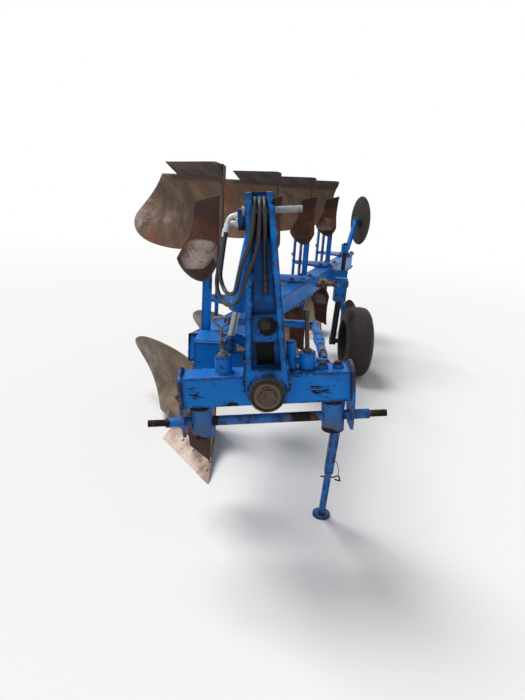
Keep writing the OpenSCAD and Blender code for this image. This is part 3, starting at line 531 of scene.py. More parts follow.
def worn_enamel(name, colour, wear=1.0, dust=0.25, bare_at=(), scuffs=(), grease_and_shade_at=(), film=0.06,
                other=None):
    """Enamel that has faded in patches, chipped to dark metal and rust at edges and welds and scratched
    along the machine, with a film of soil and a little dust where it faces up. bare_at and scuffs are
    places (middle, reach) where the paint is gone or scratched; the grease places are where it is
    darkened, partly by grease and partly as painted shade in recesses and painted shadow; other is
    (colour, lowest, highest) of a second colour between two heights."""
    c = bpy.context.scene.plough_colours
    f = Finish(name, specular=0.10)
    if other:
        height = f.add("ShaderNodeSeparateXYZ", {0: f.place}).outputs["Z"]
        inside = f.times(f.between(height, other[1] - 0.002, other[1] + 0.002),
                         f.between(height, other[2] + 0.002, other[2] - 0.002))
        colour = f.mix(inside, colour, other[0])
        shade = f.mix(f.times(f.noise(3, 5), 0.5), colour, (0.0, 0.0, 0.0))
    else:
        shade = f.mix(f.noise(2.5, 4), [0.74 * x for x in colour],
                      [min(1, 1.22 * x + 0.006) for x in colour])
        shade = f.mix(f.times(f.between(f.noise(11, 8, 0.68), 0.54, 0.74), 0.30), shade,
                      [0.85 * x + 0.05 for x in colour])
        shade = f.mix(f.times(f.between(f.noise(7, 9, 0.74), 0.53, 0.72), 0.55), shade,
                      [0.24 * x + 0.001 for x in colour])
    edges = f.maths("POWER", f.times(f.edge_wear(0.024), 3.4), 0.38)
    wide = f.plus(1.0, f.swing(f.noise(17, 7, 0.7), 8.0))
    fine = f.swing(f.noise(80, 5, 0.6), 1.1)
    chip = f.between(f.plus(f.times(edges, wide), fine), 0.84 - 0.16 * wear, 0.92 - 0.16 * wear)
    spots = f.between(f.noise(19, 10, 0.76), 0.652 - 0.016 * wear, 0.668 - 0.016 * wear)
    marks = f.noise(3, 6, 0.62, f.stretched((6, 6, 46)))
    scratch = f.between(marks, 0.650, 0.668)
    bare = f.most(f.most(chip, spots), scratch)
    for middle, reach in scuffs:
        near = f.region(middle, reach)
        bare = f.most(bare, f.between(f.plus(marks, f.times(near, 0.17)), 0.665, 0.680))
    for middle, reach in bare_at:
        near = f.plus(f.region(middle, reach), f.swing(f.noise(26, 7, 0.7), 1.6))
        bare = f.most(bare, f.between(near, 0.40, 0.52))
    metal = f.mix(f.between(f.noise(24, 7, 0.66), 0.52, 0.70), tuple(c.dark), tuple(c.rust))
    soiled = f.times(f.between(f.noise(8, 8, 0.7), 0.30, 0.62), film)
    painted = f.mix(bare, f.mix(soiled, shade, (0.085, 0.078, 0.070)), metal)
    # Grease places: the paint darkens to near-black navy, partly grease and partly painted shade and
    # painted shadow
    for middle, reach in grease_and_shade_at:
        near = f.times(f.region(middle, reach), f.between(f.noise(13, 7, 0.66), 0.24, 0.50))
        painted = f.mix(f.times(near, 0.82), painted, (0.006, 0.010, 0.020))
    lying = f.times(f.between(f.upward(), 0.3, 1.0), f.between(f.noise(12, 7, 0.7), 0.46, 0.74))
    grime = f.between(f.noise(5, 8, 0.75), 0.58, 0.80)
    dirt = f.most(f.times(lying, dust), f.times(grime, 0.40 * dust))
    colour_out = f.mix(dirt, painted, tuple(c.dust))
    rough = f.plus(0.36, f.times(f.most(bare, dirt), 0.44))
    height = f.maths("SUBTRACT", f.times(f.noise(140, 3), 0.12), bare)
    return f.finish(colour_out, rough, height, 0.45, 0.0014)


def soil_steel(name, colour, polish_share=0.6, orange=0.5, grey=None):
    """Bare steel from the soil: brown rust in soft blotches and thin streaks that follow the furrow
    slice, with orange patches, a polished sheen where the attribute polish is high (on the skimmers'
    bowls partly a painted highlight), and dark rims where rim is (on the skimmers' curled lips painted
    shade)."""
    c = bpy.context.scene.plough_colours
    f = Finish(name, specular=0.18)
    along = f.add("ShaderNodeCombineXYZ", {0: f.attribute("slice_u"), 1: f.attribute("slice_v")}).outputs[0]
    blotch = f.noise(7, 9, 0.62)
    streak = f.noise(1.0, 9, 0.68, f.stretched((3.5, 55, 1), along))
    hair = f.noise(1.0, 4, 0.5, f.stretched((2.0, 260, 1), along))
    base = f.mix(f.between(blotch, 0.30, 0.70), [0.62 * x for x in colour], [1.42 * x for x in colour])
    base = f.mix(f.times(f.between(streak, 0.46, 0.66), 0.45), base, [0.55 * x for x in colour])
    patch = f.times(f.between(f.noise(4.2, 8, 0.6), 0.50, 0.66), orange)
    base = f.mix(patch, base, f.mix(f.noise(40, 5), tuple(c.orange), [0.45 * x for x in c.orange]))
    fine = f.noise(95, 6, 0.65)
    shine = f.plus(f.attribute("polish"), f.swing(streak, 1.1))
    shine = f.plus(shine, f.swing(blotch, 1.6))
    shine = f.times(f.between(shine, 0.38, 1.08), polish_share)
    base = f.mix(shine, base, grey or tuple(c.polish))
    base = f.mix(f.times(f.between(hair, 0.58, 0.68), f.times(shine, 0.5)), base,
                 (0.55, 0.50, 0.47))
    specks = f.times(f.between(f.noise(150, 3, 0.5), 0.64, 0.70), f.attribute("polish"))
    base = f.mix(f.times(specks, 0.6), base, (0.62, 0.58, 0.55))
    base = f.mix(f.times(f.between(fine, 0.56, 0.70), 0.55), base, [0.32 * x for x in colour])
    # Dark rims: at seams and edges, and painted shade on the skimmers' curled lips
    rim = f.plus(f.attribute("rim"), f.swing(blotch, 0.9))
    rim = f.times(f.between(rim, 0.35, 0.75), f.between(f.attribute("rim"), 0.0, 0.3))
    base = f.mix(f.times(rim, 0.85), base, (0.040, 0.026, 0.022))
    worn = f.times(f.between(f.edge_wear(0.003), 0.02, 0.16), 0.5)
    base = f.mix(worn, base, [min(1, 1.5 * x + 0.05) for x in colour])
    rough = f.maths("SUBTRACT", f.plus(0.60, f.times(fine, 0.22)), f.times(shine, 0.44))
    f.tree.links.new(f.times(shine, 0.45), f.shader.inputs["Metallic"])
    height = f.plus(f.times(streak, 0.35), f.times(fine, 0.45))
    return f.finish(base, rough, height, 0.40, 0.0014)


def plain_steel(name, colour, rust_share, roughness, metallic=0.6):
    """Bare metal with rust in blotches and at its edges."""
    c = bpy.context.scene.plough_colours
    f = Finish(name, metallic=metallic)
    blotch = f.noise(22, 8, 0.68)
    edge = f.edge_wear(0.004)
    rusty = f.between(f.plus(blotch, f.times(edge, 0.5)), 0.72 - 0.45 * rust_share,
                      0.86 - 0.40 * rust_share)
    base = f.mix(f.noise(60, 5), [0.75 * x for x in colour], [1.15 * x for x in colour])
    worn = f.mix(rusty, base, f.mix(f.noise(45, 5), tuple(c.dark), tuple(c.rust)))
    rough = f.maths("ADD", roughness, f.times(rusty, 0.40), True)
    return f.finish(worn, rough, f.plus(blotch, f.noise(150, 4)), 0.25, 0.001)


def hose_rubber(name, colour):
    """Wrapped hose rubber: fine rings round the hose from the attribute along, grey with dust in
    places."""
    f = Finish(name, specular=0.35)
    wrap = f.add("ShaderNodeMath", {0: f.times(f.attribute("along"), 2 * TAU / 0.004)},
                 operation="SINE").outputs[0]
    grey = f.between(f.noise(14, 6, 0.65), 0.45, 0.75)
    base = f.mix(f.times(grey, 0.22), tuple(colour), (0.080, 0.076, 0.072))
    rough = f.plus(0.42, f.times(grey, 0.25))
    return f.finish(base, rough, f.plus(f.times(wrap, 0.2), f.noise(120, 4)), 0.2, 0.0006)


def tyre_rubber(name, colour):
    """Old tyre: dark brown rubber with dry soil rubbed into it, fine cracks and a scuffed tread."""
    c = bpy.context.scene.plough_colours
    f = Finish(name, specular=0.25)
    soil = f.between(f.noise(7, 8, 0.7), 0.42, 0.70)
    base = f.mix(f.times(soil, 0.40), tuple(colour), [0.22 * x for x in c.dust])
    cracks = f.add("ShaderNodeTexVoronoi", {"Vector": f.place, "Scale": 70.0}, feature="DISTANCE_TO_EDGE")
    line = f.between(cracks.outputs["Distance"], 0.0, 0.06)
    base = f.mix(f.times(f.maths("SUBTRACT", 1.0, line), 0.35), base, (0.02, 0.016, 0.014))
    rough = f.plus(0.55, f.times(soil, 0.3))
    return f.finish(base, rough, f.plus(f.noise(60, 6), f.times(line, 0.4)), 0.3, 0.001)


FINISHES = {}


def make_finishes():
    """All finishes of the machine by name, made once."""
    c = bpy.context.scene.plough_colours
    blue, black = tuple(c.enamel), tuple(c.black)
    axis = TURN[2]
    FINISHES.update(
        enamel=worn_enamel("Blue enamel", blue, 1.3, 0.15),
        mast=worn_enamel("Mast enamel", blue, 1.7, 0.1, bare_at=[
            ((-0.058, 0.10, 0.600), (0.030, 0.10, 0.075)),
            ((0.012, 0.045, 0.255), (0.052, 0.030, 0.060)),
            ((0.050, 0.05, 0.700), (0.030, 0.06, 0.030)),
            ((0.078, 0.05, 0.250), (0.016, 0.08, 0.090))], grease_and_shade_at=[
            # Darkened places; the first, the web between the side plates, is painted shade
            ((0.0, 0.125, 0.480), (0.200, 0.095, 0.600)),
            ((0.004, 0.045, 0.262), (0.078, 0.030, 0.080)),
            ((0.030, 0.060, 0.095), (0.080, 0.060, 0.045)),
            ((0.072, 0.060, 0.215), (0.024, 0.060, 0.060))]),
        cross=worn_enamel("Scratched blue enamel", blue, 1.9, 0.1, scuffs=[
            ((0.200, 0.05, -0.004), (0.075, 0.03, 0.040)),
            ((-0.150, 0.05, -0.040), (0.060, 0.03, 0.026)),
            ((-0.285, 0.05, 0.000), (0.040, 0.03, 0.045))], bare_at=[
            ((-0.135, 0.045, -0.055), (0.036, 0.03, 0.018)),
            ((0.345, 0.05, 0.040), (0.020, 0.06, 0.040))], grease_and_shade_at=[
            # Painted shadow of the mast on the top of the cross tube
            ((0.095, 0.11, 0.078), (0.050, 0.08, 0.030))]),
        brackets=worn_enamel("Bracket enamel", blue, 1.2, 0.3, film=0.80, bare_at=[
            ((side * BUSH_X - 0.02, 0.085, z), (0.075, 0.07, reach))
            for side in (-1, 1) for z, reach in ((-0.205, 0.032), (-0.070, 0.022))]),
        shaft=worn_enamel("Shaft enamel", blue, 1.3, 0.2, film=0.72, bare_at=[
            ((0.145, 0.11, -0.145), (0.105, 0.05, 0.05)),
            ((-0.450, 0.11, -0.145), (0.095, 0.05, 0.05)),
            ((0.470, 0.11, -0.145), (0.085, 0.05, 0.05)),
            ((-0.215, 0.11, -0.145), (0.030, 0.05, 0.05))]),
        worn_blue=worn_enamel("Well worn blue enamel", blue, 1.5, 0.35, film=0.45),
        black=worn_enamel("Black paint", black, 0.9, 0.25),
        arm=worn_enamel("Black and blue paint", black, 1.0, 0.4, other=(blue, axis - 0.150, axis + 0.5)),
        post=worn_enamel("Black post paint", black, 1.0, 0.4, other=(blue, axis - 0.056, axis + 0.056)),
        boards=soil_steel("Mouldboard steel", tuple(c.soil), 0.75, 0.75),
        # The lower boards, which face up, get a paler copy of the board steel
        dusty_boards=soil_steel("Pale mouldboard steel", (0.160, 0.124, 0.090), 0.60, 0.45),
        skimmers=soil_steel("Skimmer steel", (0.090, 0.036, 0.023), 0.90, 0.75, (0.300, 0.240, 0.222)),
        shares=soil_steel("Share steel", (0.048, 0.030, 0.026), 0.08, 0.15),
        discs=soil_steel("Disc steel", (0.040, 0.032, 0.026), 0.30, 0.25, (0.160, 0.130, 0.105)),
        worn_shares=soil_steel("Worn share steel", (0.300, 0.205, 0.160), 0.80, 0.35,
                               (0.520, 0.440, 0.395)),
        dark_steel=plain_steel("Dark steel", (0.040, 0.035, 0.032), 0.45, 0.48, 0.25),
        nut=plain_steel("Nut steel", (0.074, 0.056, 0.038), 0.55, 0.42, 0.4),
        ring_steel=plain_steel("Ring steel", (0.105, 0.078, 0.054), 0.50, 0.40, 0.45),
        handle=plain_steel("Handle steel", (0.135, 0.130, 0.122), 0.45, 0.45, 0.3),
        # Near-black paint for the plate that stands for the shade in the mast's opening: painted shade
        window=worn_enamel("Painted window shade", (0.003, 0.003, 0.004), 0.2, 0.0, film=0.02),
        rusty=plain_steel("Rusty steel", (0.24, 0.20, 0.17), 0.75, 0.45, 0.5),
        grey=plain_steel("Grey steel", (0.24, 0.25, 0.26), 0.30, 0.45, 0.30),
        zinc=plain_steel("Galvanised steel", tuple(c.zinc), 0.05, 0.42, 0.15),
        chrome=plain_steel("Chromed rod", (0.36, 0.34, 0.31), 0.25, 0.34, 0.55),
        hose=hose_rubber("Hose rubber", tuple(c.hose)),
        tyre=tyre_rubber("Tyre rubber", tuple(c.tyre)),
    )


def repaint(finish, *nodes):
    """Gives carried-over nodes a finish."""
    for name in nodes:
        mesh = frame["nodes"][name].data
        mesh.materials.clear()
        mesh.materials.append(FINISHES[finish])


# ---- Mouldboards ------------------------------------------------------------------------------

def ruled_surface(form, lift, u, z):
    """Level straight lines that start on the shin, x = 0, y = foot_y + run (1 - (1 - t)^p) with t the
    rise from foot to top, and turn away from the furrow wall by low + (high - low) t^1.5; u is the
    distance along the line."""
    t = np.clip((z - form["foot"]) / (form["top"] - form["foot"]), 0, 1)
    power = (form["top"] - form["foot"]) / (math.tan(lift) * math.sin(form["low_angle"]) * form["run"])
    turn = form["low_angle"] + (form["high_angle"] - form["low_angle"]) * t ** 1.5
    shin = form["foot_y"] + form["run"] * (1 - (1 - t) ** power)
    return np.stack([-u * np.sin(turn), shin + u * np.cos(turn), z], -1)


def front_normal(form, lift, u, z, step=0.002):
    """Unit normal on the hollow front side, from two short steps on the surface."""
    low, high = np.maximum(form["foot"], z - step), np.minimum(form["top"], z + step)
    du = ruled_surface(form, lift, u + step, z) - ruled_surface(form, lift, u, z)
    dz = ruled_surface(form, lift, u, high) - ruled_surface(form, lift, u, low)
    return unit(np.cross(dz, du))


def sheet_shape(front, back):
    """A closed sheet of two grids: front and back are joined round their rims."""
    rows, columns = front.shape[:2]
    count = rows * columns
    index = np.arange(count).reshape(rows, columns)
    rim = np.concatenate([index[0, :-1], index[:-1, -1], index[-1, :0:-1], index[:0:-1, 0]])
    after = np.roll(rim, -1)
    skin = grid_faces(rows, columns)
    faces = np.vstack([skin, count + skin[:, ::-1], np.stack([rim, after, count + after, count + rim], -1)])
    return np.vstack([front.reshape(-1, 3), back.reshape(-1, 3)]), faces


def sheet_values(u, v, polish, rim):
    """The attributes of a sheet's front and back: place on the furrow slice, polish and rims."""
    return {"slice_u": np.tile(u.ravel(), 2), "slice_v": np.tile(v.ravel(), 2),
            "polish": np.concatenate([polish.ravel(), polish.ravel() - BACK_POLISH]),
            "rim": np.tile(rim.ravel(), 2)}


def board_form():
    """The numbers of the mouldboard's ruled surface: angles of its level lines low and high, its heights,
    and where its shin starts behind the share tip and how far it runs back."""
    b = bpy.context.scene.plough_board
    share_top = b.share_width * math.sin(b.share_lift)
    foot_y = share_top / (math.tan(b.share_lift) * math.sin(b.share_angle))
    return {"low_angle": b.share_angle, "high_angle": b.wing_angle, "foot": share_top, "top": b.height,
            "foot_y": foot_y, "run": b.shin_run}


def board_edges(u):
    """Lower and upper edge heights along a mouldboard. The lower edge is level over the share, then rises
    almost straight and rounds up into the tip; the top rises from the shin to its crest and falls to the
    tip as a quarter of the curve w^2.4 + h^1.8 = 1."""
    b = bpy.context.scene.plough_board
    foot = b.share_width * math.sin(b.share_lift) + 0.0012
    v = np.clip((u - b.wing_start) / (b.length - b.wing_start), 0, 1)
    w = np.clip((u - b.crest) / (b.length - b.crest), 0, 1)
    low = foot + (b.tail_tip - foot) * (0.78 * v ** 1.1 + 0.22 * (1 - np.sqrt(1 - v ** 2)))
    high = b.height - b.shin_drop * (1 - np.minimum(u, b.crest) / b.crest) ** 2
    return low, high - (b.height - b.tail_tip - 0.012) * (1 - (1 - w ** 2.4) ** 0.55)


def make_mouldboard(i, upper):
    """One mouldboard on a fine grid, its rim bevelled, with its polish strongest on the tail and along the
    upper middle."""
    b = bpy.context.scene.plough_board
    form, lift = board_form(), b.share_lift
    s, t = np.meshgrid(np.linspace(0, 1, 110), np.linspace(0, 1, 48), indexing="ij")
    u = b.length * (1 - (1 - s) ** 1.5)
    low, high = board_edges(u)
    z = low + (high - low) * t ** 1.15
    front = ruled_surface(form, lift, u, z)
    back = front - b.thickness * front_normal(form, lift, u, z)
    tail = np.clip((u / b.length - 0.55) / 0.45, 0, 1)
    polish = 0.16 + 0.85 * tail ** 1.5 * (1 - 0.35 * t) + 0.22 * np.exp(-((t - 0.62) / 0.18) ** 2)
    rim = (np.exp(-(z - low) / 0.012) + 0.55 * np.exp(-(z - low) / 0.070)) * (u < 0.62)
    rim = rim + 0.8 * np.exp(-u / 0.010)
    shape = sheet_shape(at_body(front, i, upper), at_body(back, i, upper))
    side = f"{SIDES[upper][1]}_{i + 1}"
    put_piece(f"board_{side}", shape, "boards" if upper else "dusty_boards", "plough_frame",
              [f"mouldboard_{side}"], 0.0015, sheet_values(u + 3 * i, z, polish, rim))


def share_point(a, v, under=0.0):
    """A point of the share's top from its distance along the cutting edge and up the slope, moved under
    along the share's own normal."""
    b = bpy.context.scene.plough_board
    c, s = math.cos(b.share_lift), math.sin(b.share_lift)
    turn = math.pi / 2 + b.share_angle
    x, y, z = a, -v * c - under * s, v * s - under * c
    c, s = math.cos(turn), math.sin(turn)
    return np.stack([x * c - y * s, x * s + y * c, z], -1)


def share_ends(v, upper):
    """Where the share begins at the furrow wall, or at its worn point, and where it ends at the wing."""
    b = bpy.context.scene.plough_board
    wall = v * math.cos(b.share_lift) / math.tan(b.share_angle)
    wear = np.array(SHARE_WEAR[upper])
    start = np.where(v < 0.0751, np.maximum(wall, np.interp(v, wear[:, 0], wear[:, 1])), wall)
    return start, np.interp(v, *zip(*SHARE_END))


def make_share(i, upper):
    """A share in two pieces, point and wing: grids between the share's two ends, the top flat and the
    underside parallel to it down to the ground."""
    b = bpy.context.scene.plough_board
    c, s = math.cos(b.share_lift), math.sin(b.share_lift)
    made = []
    toe = b.share_thickness * c / s
    for part in ("point", "wing"):
        v = np.linspace(0, 1, 22)[None] ** 0.9 * b.share_width
        start, end = share_ends(v, upper)
        seam = np.maximum(SHARE_SEAM + 0.25 * v, start + 0.012)
        left, right = (start, seam) if part == "point" else (seam + 0.0015, end)
        share = np.linspace(0, 1, 12 if part == "point" else 40)[:, None]
        a = left + (right - left) * share
        v = np.broadcast_to(v, a.shape)
        top = share_point(a, v)
        low = share_point(a, toe + v * (b.share_width - toe) / b.share_width, b.share_thickness)
        low[..., 0] = np.minimum(low[..., 0], -0.0003)
        polish = 0.35 + 0.5 * np.exp(-v / 0.05) + 0.2 * (part == "wing")
        seam_rim = 0.7 * np.exp(-(seam - a) / 0.004) if part == "point" else 0
        rim = np.exp(-(b.share_width - v) / 0.006) + seam_rim
        made.append((sheet_shape(at_body(top, i, upper), at_body(low, i, upper)),
                     sheet_values(a + 7 * i, v, polish, rim)))
    return made


def spoon(s, t):
    """A skimmer's surface: a profile rises from the edge, leans back and curls forward over itself,
    carried sideways along level lines that shorten towards both ends."""
    k = bpy.context.scene.plough_skimmer
    half = np.minimum(1, 2 * t)
    ends = np.abs(s - 0.30) / 0.70
    bend = math.radians(144) * np.maximum(0, 2 * t - 1) * (1 - 0.446 * ends ** 2.4)
    depth = k.lean * (1 - (1 - half) ** 2) - k.curl * (1 - np.cos(bend))
    reach = k.wall * half + (k.height - k.wall) * np.sin(bend)
    flare = np.clip((t - 0.409) / 0.589, 0, 1)
    span = 0.138 + 0.073 * flare ** 2 * (3 - 2 * flare)
    short = 1 - 0.219 * np.where(s > 0.36, (s - 0.36) / 0.64, (0.36 - s) / 0.36) ** 2
    end = np.maximum(0, (t - 0.6) / 0.4) ** 2
    u = 0.018 * end + s * (span - 0.035 * end - 0.007 * np.clip((t - 0.636) / 0.364, 0, 1) ** 2)
    turn = np.radians(50 + 20 * half)
    rise = reach * short + 0.034 * s * (1 - half)
    return np.stack([-u * np.sin(turn), depth + u * np.cos(turn), rise], -1)


def spoon_normal(s, t, step=0.01):
    """Unit normal on the spoon's hollow side, from short steps both ways."""
    a, b = np.maximum(0, s - step), np.minimum(1, s + step)
    c, d = np.maximum(0, t - step), np.minimum(1, t + step)
    return unit(np.cross(spoon(s, d) - spoon(s, c), spoon(b, t) - spoon(a, t)))


def skimmer_place(i, upper):
    """Where a skimmer's own origin lies from its share tip."""
    k = bpy.context.scene.plough_skimmer
    return np.array([SKIMMER_X[i], -k.lead, k.upper_base if upper else k.lower_base])


def make_skimmer(i, upper):
    """One skimmer with the thin edge blade on its front."""
    k = bpy.context.scene.plough_skimmer
    move = skimmer_place(i, upper)
    made = []
    for part in ("body", "blade"):
        rows = 52 if part == "body" else 10
        first, last = (0.0, 1.0) if part == "body" else (0.0, 0.21)
        s, t = np.meshgrid(np.linspace(0, 1, 34), np.linspace(first, last, rows), indexing="ij")
        front = spoon(s, t)
        normal = spoon_normal(s, t)
        back = front - k.thickness * normal
        if part == "blade":
            front, back = front + 0.0022 * normal, front - 0.001 * normal
        # The band of the bowl above a level line and under the lip gets polish: partly soil polish, partly
        # a painted highlight where light falls in the hollow
        bowl = np.clip((front[..., 2] - 0.190) / 0.020, 0, 1) * np.clip((0.93 - t) / 0.12, 0, 1)
        polish = SKIMMER_POLISH_AND_HIGHLIGHT[i] * bowl * (1 - 0.55 * np.abs(2 * s - 0.95) ** 2) + 0.02
        # The curled lip is darkened as painted shade
        rim = 1.1 * np.clip((t - 0.86) / 0.05, 0, 1)
        rim = rim + 0.8 * np.exp(-(1 - np.abs(2 * s - 1)) / 0.04) * (t > 0.45)
        rim = rim + (0.75 if part == "blade" else 0.9 * np.exp(-np.maximum(0, t - 0.21) / 0.012))
        made.append((sheet_shape(at_body(front + move, i, upper), at_body(back + move, i, upper)),
                     sheet_values(0.18 * s + 5 * i, 0.40 * t, polish, rim)))
    return made


def put_set(name, make, upper, finish, node, bevel):
    """One object from the (shape, values) that make gives for the four bodies of one set."""
    made = [part for i in range(BODY_COUNT) for part in make(i, upper)]
    values = {key: np.concatenate([v[key] for _, v in made]) for key in made[0][1]}
    put_piece(name, joined(shape for shape, _ in made), finish, "plough_frame", [node], bevel, values)


class PLOUGH_OT_mouldboards(bpy.types.Operator):
    """Makes the eight mouldboards as ruled surfaces"""
    bl_idname = "plough.mouldboards"
    bl_label = "Mouldboards"

    def execute(self, context):
        for i, upper in EACH_BODY:
            make_mouldboard(i, upper)
        return {"FINISHED"}


class PLOUGH_OT_shares(bpy.types.Operator):
    """Makes the shares, each a point and a wing"""
    bl_idname = "plough.shares"
    bl_label = "Shares"

    def execute(self, context):
        for upper, side in SIDES:
            put_set(f"share_blades_{side}", make_share, upper, "shares" if upper else "worn_shares",
                    f"shares_{side}", 0.001)
        return {"FINISHED"}


class PLOUGH_OT_skimmers(bpy.types.Operator):
    """Makes the eight skimmers as spoons with an edge blade"""
    bl_idname = "plough.skimmers"
    bl_label = "Skimmers"

    def execute(self, context):
        for upper, side in SIDES:
            put_set(f"skimmer_boards_{side}", make_skimmer, upper, "skimmers",
                    f"skimmers_{side}", 0.0012)
        return {"FINISHED"}


# ---- Hoses ------------------------------------------------------------------------------------

HOSE_DIAMETER = 0.016
HOSE_ROUTES = {
    "hose_inner": [
        (-0.127, 0.150, 0.598), (-0.136, 0.151, 0.557), (-0.144, 0.151, 0.517), (-0.152, 0.152, 0.476),
        (-0.158, 0.151, 0.435), (-0.150, 0.137, 0.397), (-0.134, 0.105, 0.377), (-0.114, 0.070, 0.380),
        (-0.098, 0.039, 0.402), (-0.089, 0.019, 0.438), (-0.078, 0.012, 0.478), (-0.062, 0.012, 0.517),
        (-0.046, 0.011, 0.555), (-0.034, 0.011, 0.595), (-0.027, 0.011, 0.635), (-0.022, 0.017, 0.674),
        (-0.019, 0.046, 0.704), (-0.018, 0.086, 0.714), (-0.018, 0.124, 0.699), (-0.018, 0.147, 0.666),
        (-0.018, 0.152, 0.625), (-0.020, 0.152, 0.583), (-0.023, 0.152, 0.542), (-0.024, 0.152, 0.500)],
    "hose_outer": [
        (-0.136, 0.172, 0.578), (-0.146, 0.172, 0.538), (-0.155, 0.172, 0.498), (-0.165, 0.172, 0.458),
        (-0.174, 0.172, 0.418), (-0.173, 0.166, 0.378), (-0.159, 0.146, 0.346), (-0.139, 0.114, 0.331),
        (-0.117, 0.080, 0.336), (-0.097, 0.050, 0.355), (-0.081, 0.027, 0.386), (-0.069, 0.015, 0.423),
        (-0.054, 0.012, 0.461), (-0.037, 0.012, 0.498), (-0.022, 0.012, 0.537), (-0.012, 0.012, 0.577),
        (-0.007, 0.012, 0.618), (-0.004, 0.015, 0.658), (-0.001, 0.034, 0.693), (0.000, 0.068, 0.712),
        (0.000, 0.108, 0.708), (0.000, 0.139, 0.683), (0.000, 0.151, 0.644), (0.000, 0.152, 0.603),
        (0.000, 0.152, 0.562), (0.000, 0.152, 0.521), (0.000, 0.152, 0.480)],
    "hose_spare": [
        (0.010, 0.068, 0.448), (0.010, 0.068, 0.490), (0.011, 0.060, 0.531), (0.012, 0.043, 0.568),
        (0.013, 0.024, 0.605), (0.014, 0.014, 0.645), (0.016, 0.026, 0.684), (0.017, 0.059, 0.708),
        (0.017, 0.100, 0.712), (0.018, 0.135, 0.690), (0.018, 0.151, 0.651), (0.019, 0.152, 0.608),
        (0.022, 0.152, 0.566), (0.024, 0.152, 0.522)],
}


def make_hose(node):
    """A hose as a circle carried along the smoothed route, with the distance along it kept for the wrap
    rings.
    """
    path = on_headstock(rounded_route(HOSE_ROUTES[node], 5))
    sides = 16
    shape = tube(path, HOSE_DIAMETER / 2, sides)
    lengths = np.concatenate([[0], np.cumsum(np.linalg.norm(np.diff(path, axis=0), axis=1))])
    along = np.repeat(np.concatenate([lengths[:1], lengths, lengths[-1:]]), sides)
    piece = put_piece(node + "_rubber", shape, "hose", "headstock", [node], 0.0,
                      {"along": along})
    return piece


def coupling_shape(tip, way, length=0.075, radius=0.0117):
    """A crimped ferrule, a knurled sleeve and a quick coupling, as one turned profile."""
    rows = np.array([
        [0.0, 0.0], [0.76, 0.0], [0.80, 0.02], [0.80, 0.10], [0.72, 0.11], [0.72, 0.13], [0.80, 0.14],
        [0.80, 0.24], [0.72, 0.25], [0.62, 0.27], [0.62, 0.32], [0.92, 0.34], [0.98, 0.36], [0.98, 0.52],
        [0.92, 0.54], [0.70, 0.56], [0.70, 0.62], [0.90, 0.64], [0.94, 0.66], [0.94, 0.90], [0.86, 0.94],
        [0.55, 1.0], [0.0, 1.0]])
    return lathe(rows * [radius, length], tip, way, 32)


class PLOUGH_OT_hoses(bpy.types.Operator):
    """Makes the three hoses, their couplings and the bent steel pipes that they come from"""
    bl_idname = "plough.hoses"
    bl_label = "Hoses"

    def execute(self, context):
        ends = [("hose_inner", -1, -2), ("hose_outer", -1, -2), ("hose_spare", -1, -2),
                ("hose_spare", 0, 1)]
        couplings = {}
        for node, tip, before in ends:
            route = on_headstock(HOSE_ROUTES[node])
            name = f"coupling_{node[5:]}_{'front' if tip == 0 else 'rear'}"
            piece = put_piece(name, coupling_shape(route[tip], route[tip] - route[before]), "dark_steel",
                              "headstock", ["hose_couplings"])
            couplings.setdefault(node, []).append(piece)
        for node in HOSE_ROUTES:
            make_hose(node)
        self.make_pipes()
        return {"FINISHED"}

    def make_pipes(self):
        """Two bent pipes with union nuts, and the block that they screw into."""
        shapes, nuts = [], []
        for node, y, z in (("hose_inner", 0.155, 0.655), ("hose_outer", 0.172, 0.627)):
            route = np.array(HOSE_ROUTES[node][:2])
            way = unit(route[0] - route[1])
            bend = route[0] + 0.042 * way
            corner = np.array([bend[0] + 0.014, y, z])
            path = bend_route([route[0] + 0.015 * way, bend, corner, (-0.076, y, z)], 0.014, 12)
            shapes.append(tube(on_headstock(path), 0.0092, 24))
            nut = [[0, 0], [0.0102, 0], [0.0108, 0.001], [0.0108, 0.014], [0.0094, 0.016],
                   [0.0110, 0.017], [0.0110, 0.028], [0.0098, 0.030], [0, 0.030]]
            lean = on_headstock(route)
            nuts.append(lathe(nut, lean[0], lean[0] - lean[1], 36))
            collar = [[0, 0], [0.0125, 0], [0.0140, 0.001], [0.0140, 0.012], [0.0125, 0.013], [0, 0.013]]
            wall = on_headstock([(-0.078, y, z), (-0.100, y, z)])
            shapes.append(lathe(collar, wall[0], wall[1] - wall[0], 24,
                                lambda turn: np.tile(hexagon(turn), (6, 1)) * 0.92))
        put_piece("bent_pipes", joined(shapes), "zinc", "headstock")
        put_piece("pipe_unions", joined(nuts), "zinc", "headstock")
        block = on_headstock([(x, 0.134, z) for x, z in (
            (-0.0536, 0.602), (-0.0512, 0.678), (-0.081, 0.678), (-0.081, 0.602))])
        push = leaning((0, 0.190 - 0.134, 0))
        put_piece("pipe_block", slab(block, push), "mast", "headstock", ["steel_pipes"],
                  0.003)


# ---- Turnover ---------------------------------------------------------------------------------

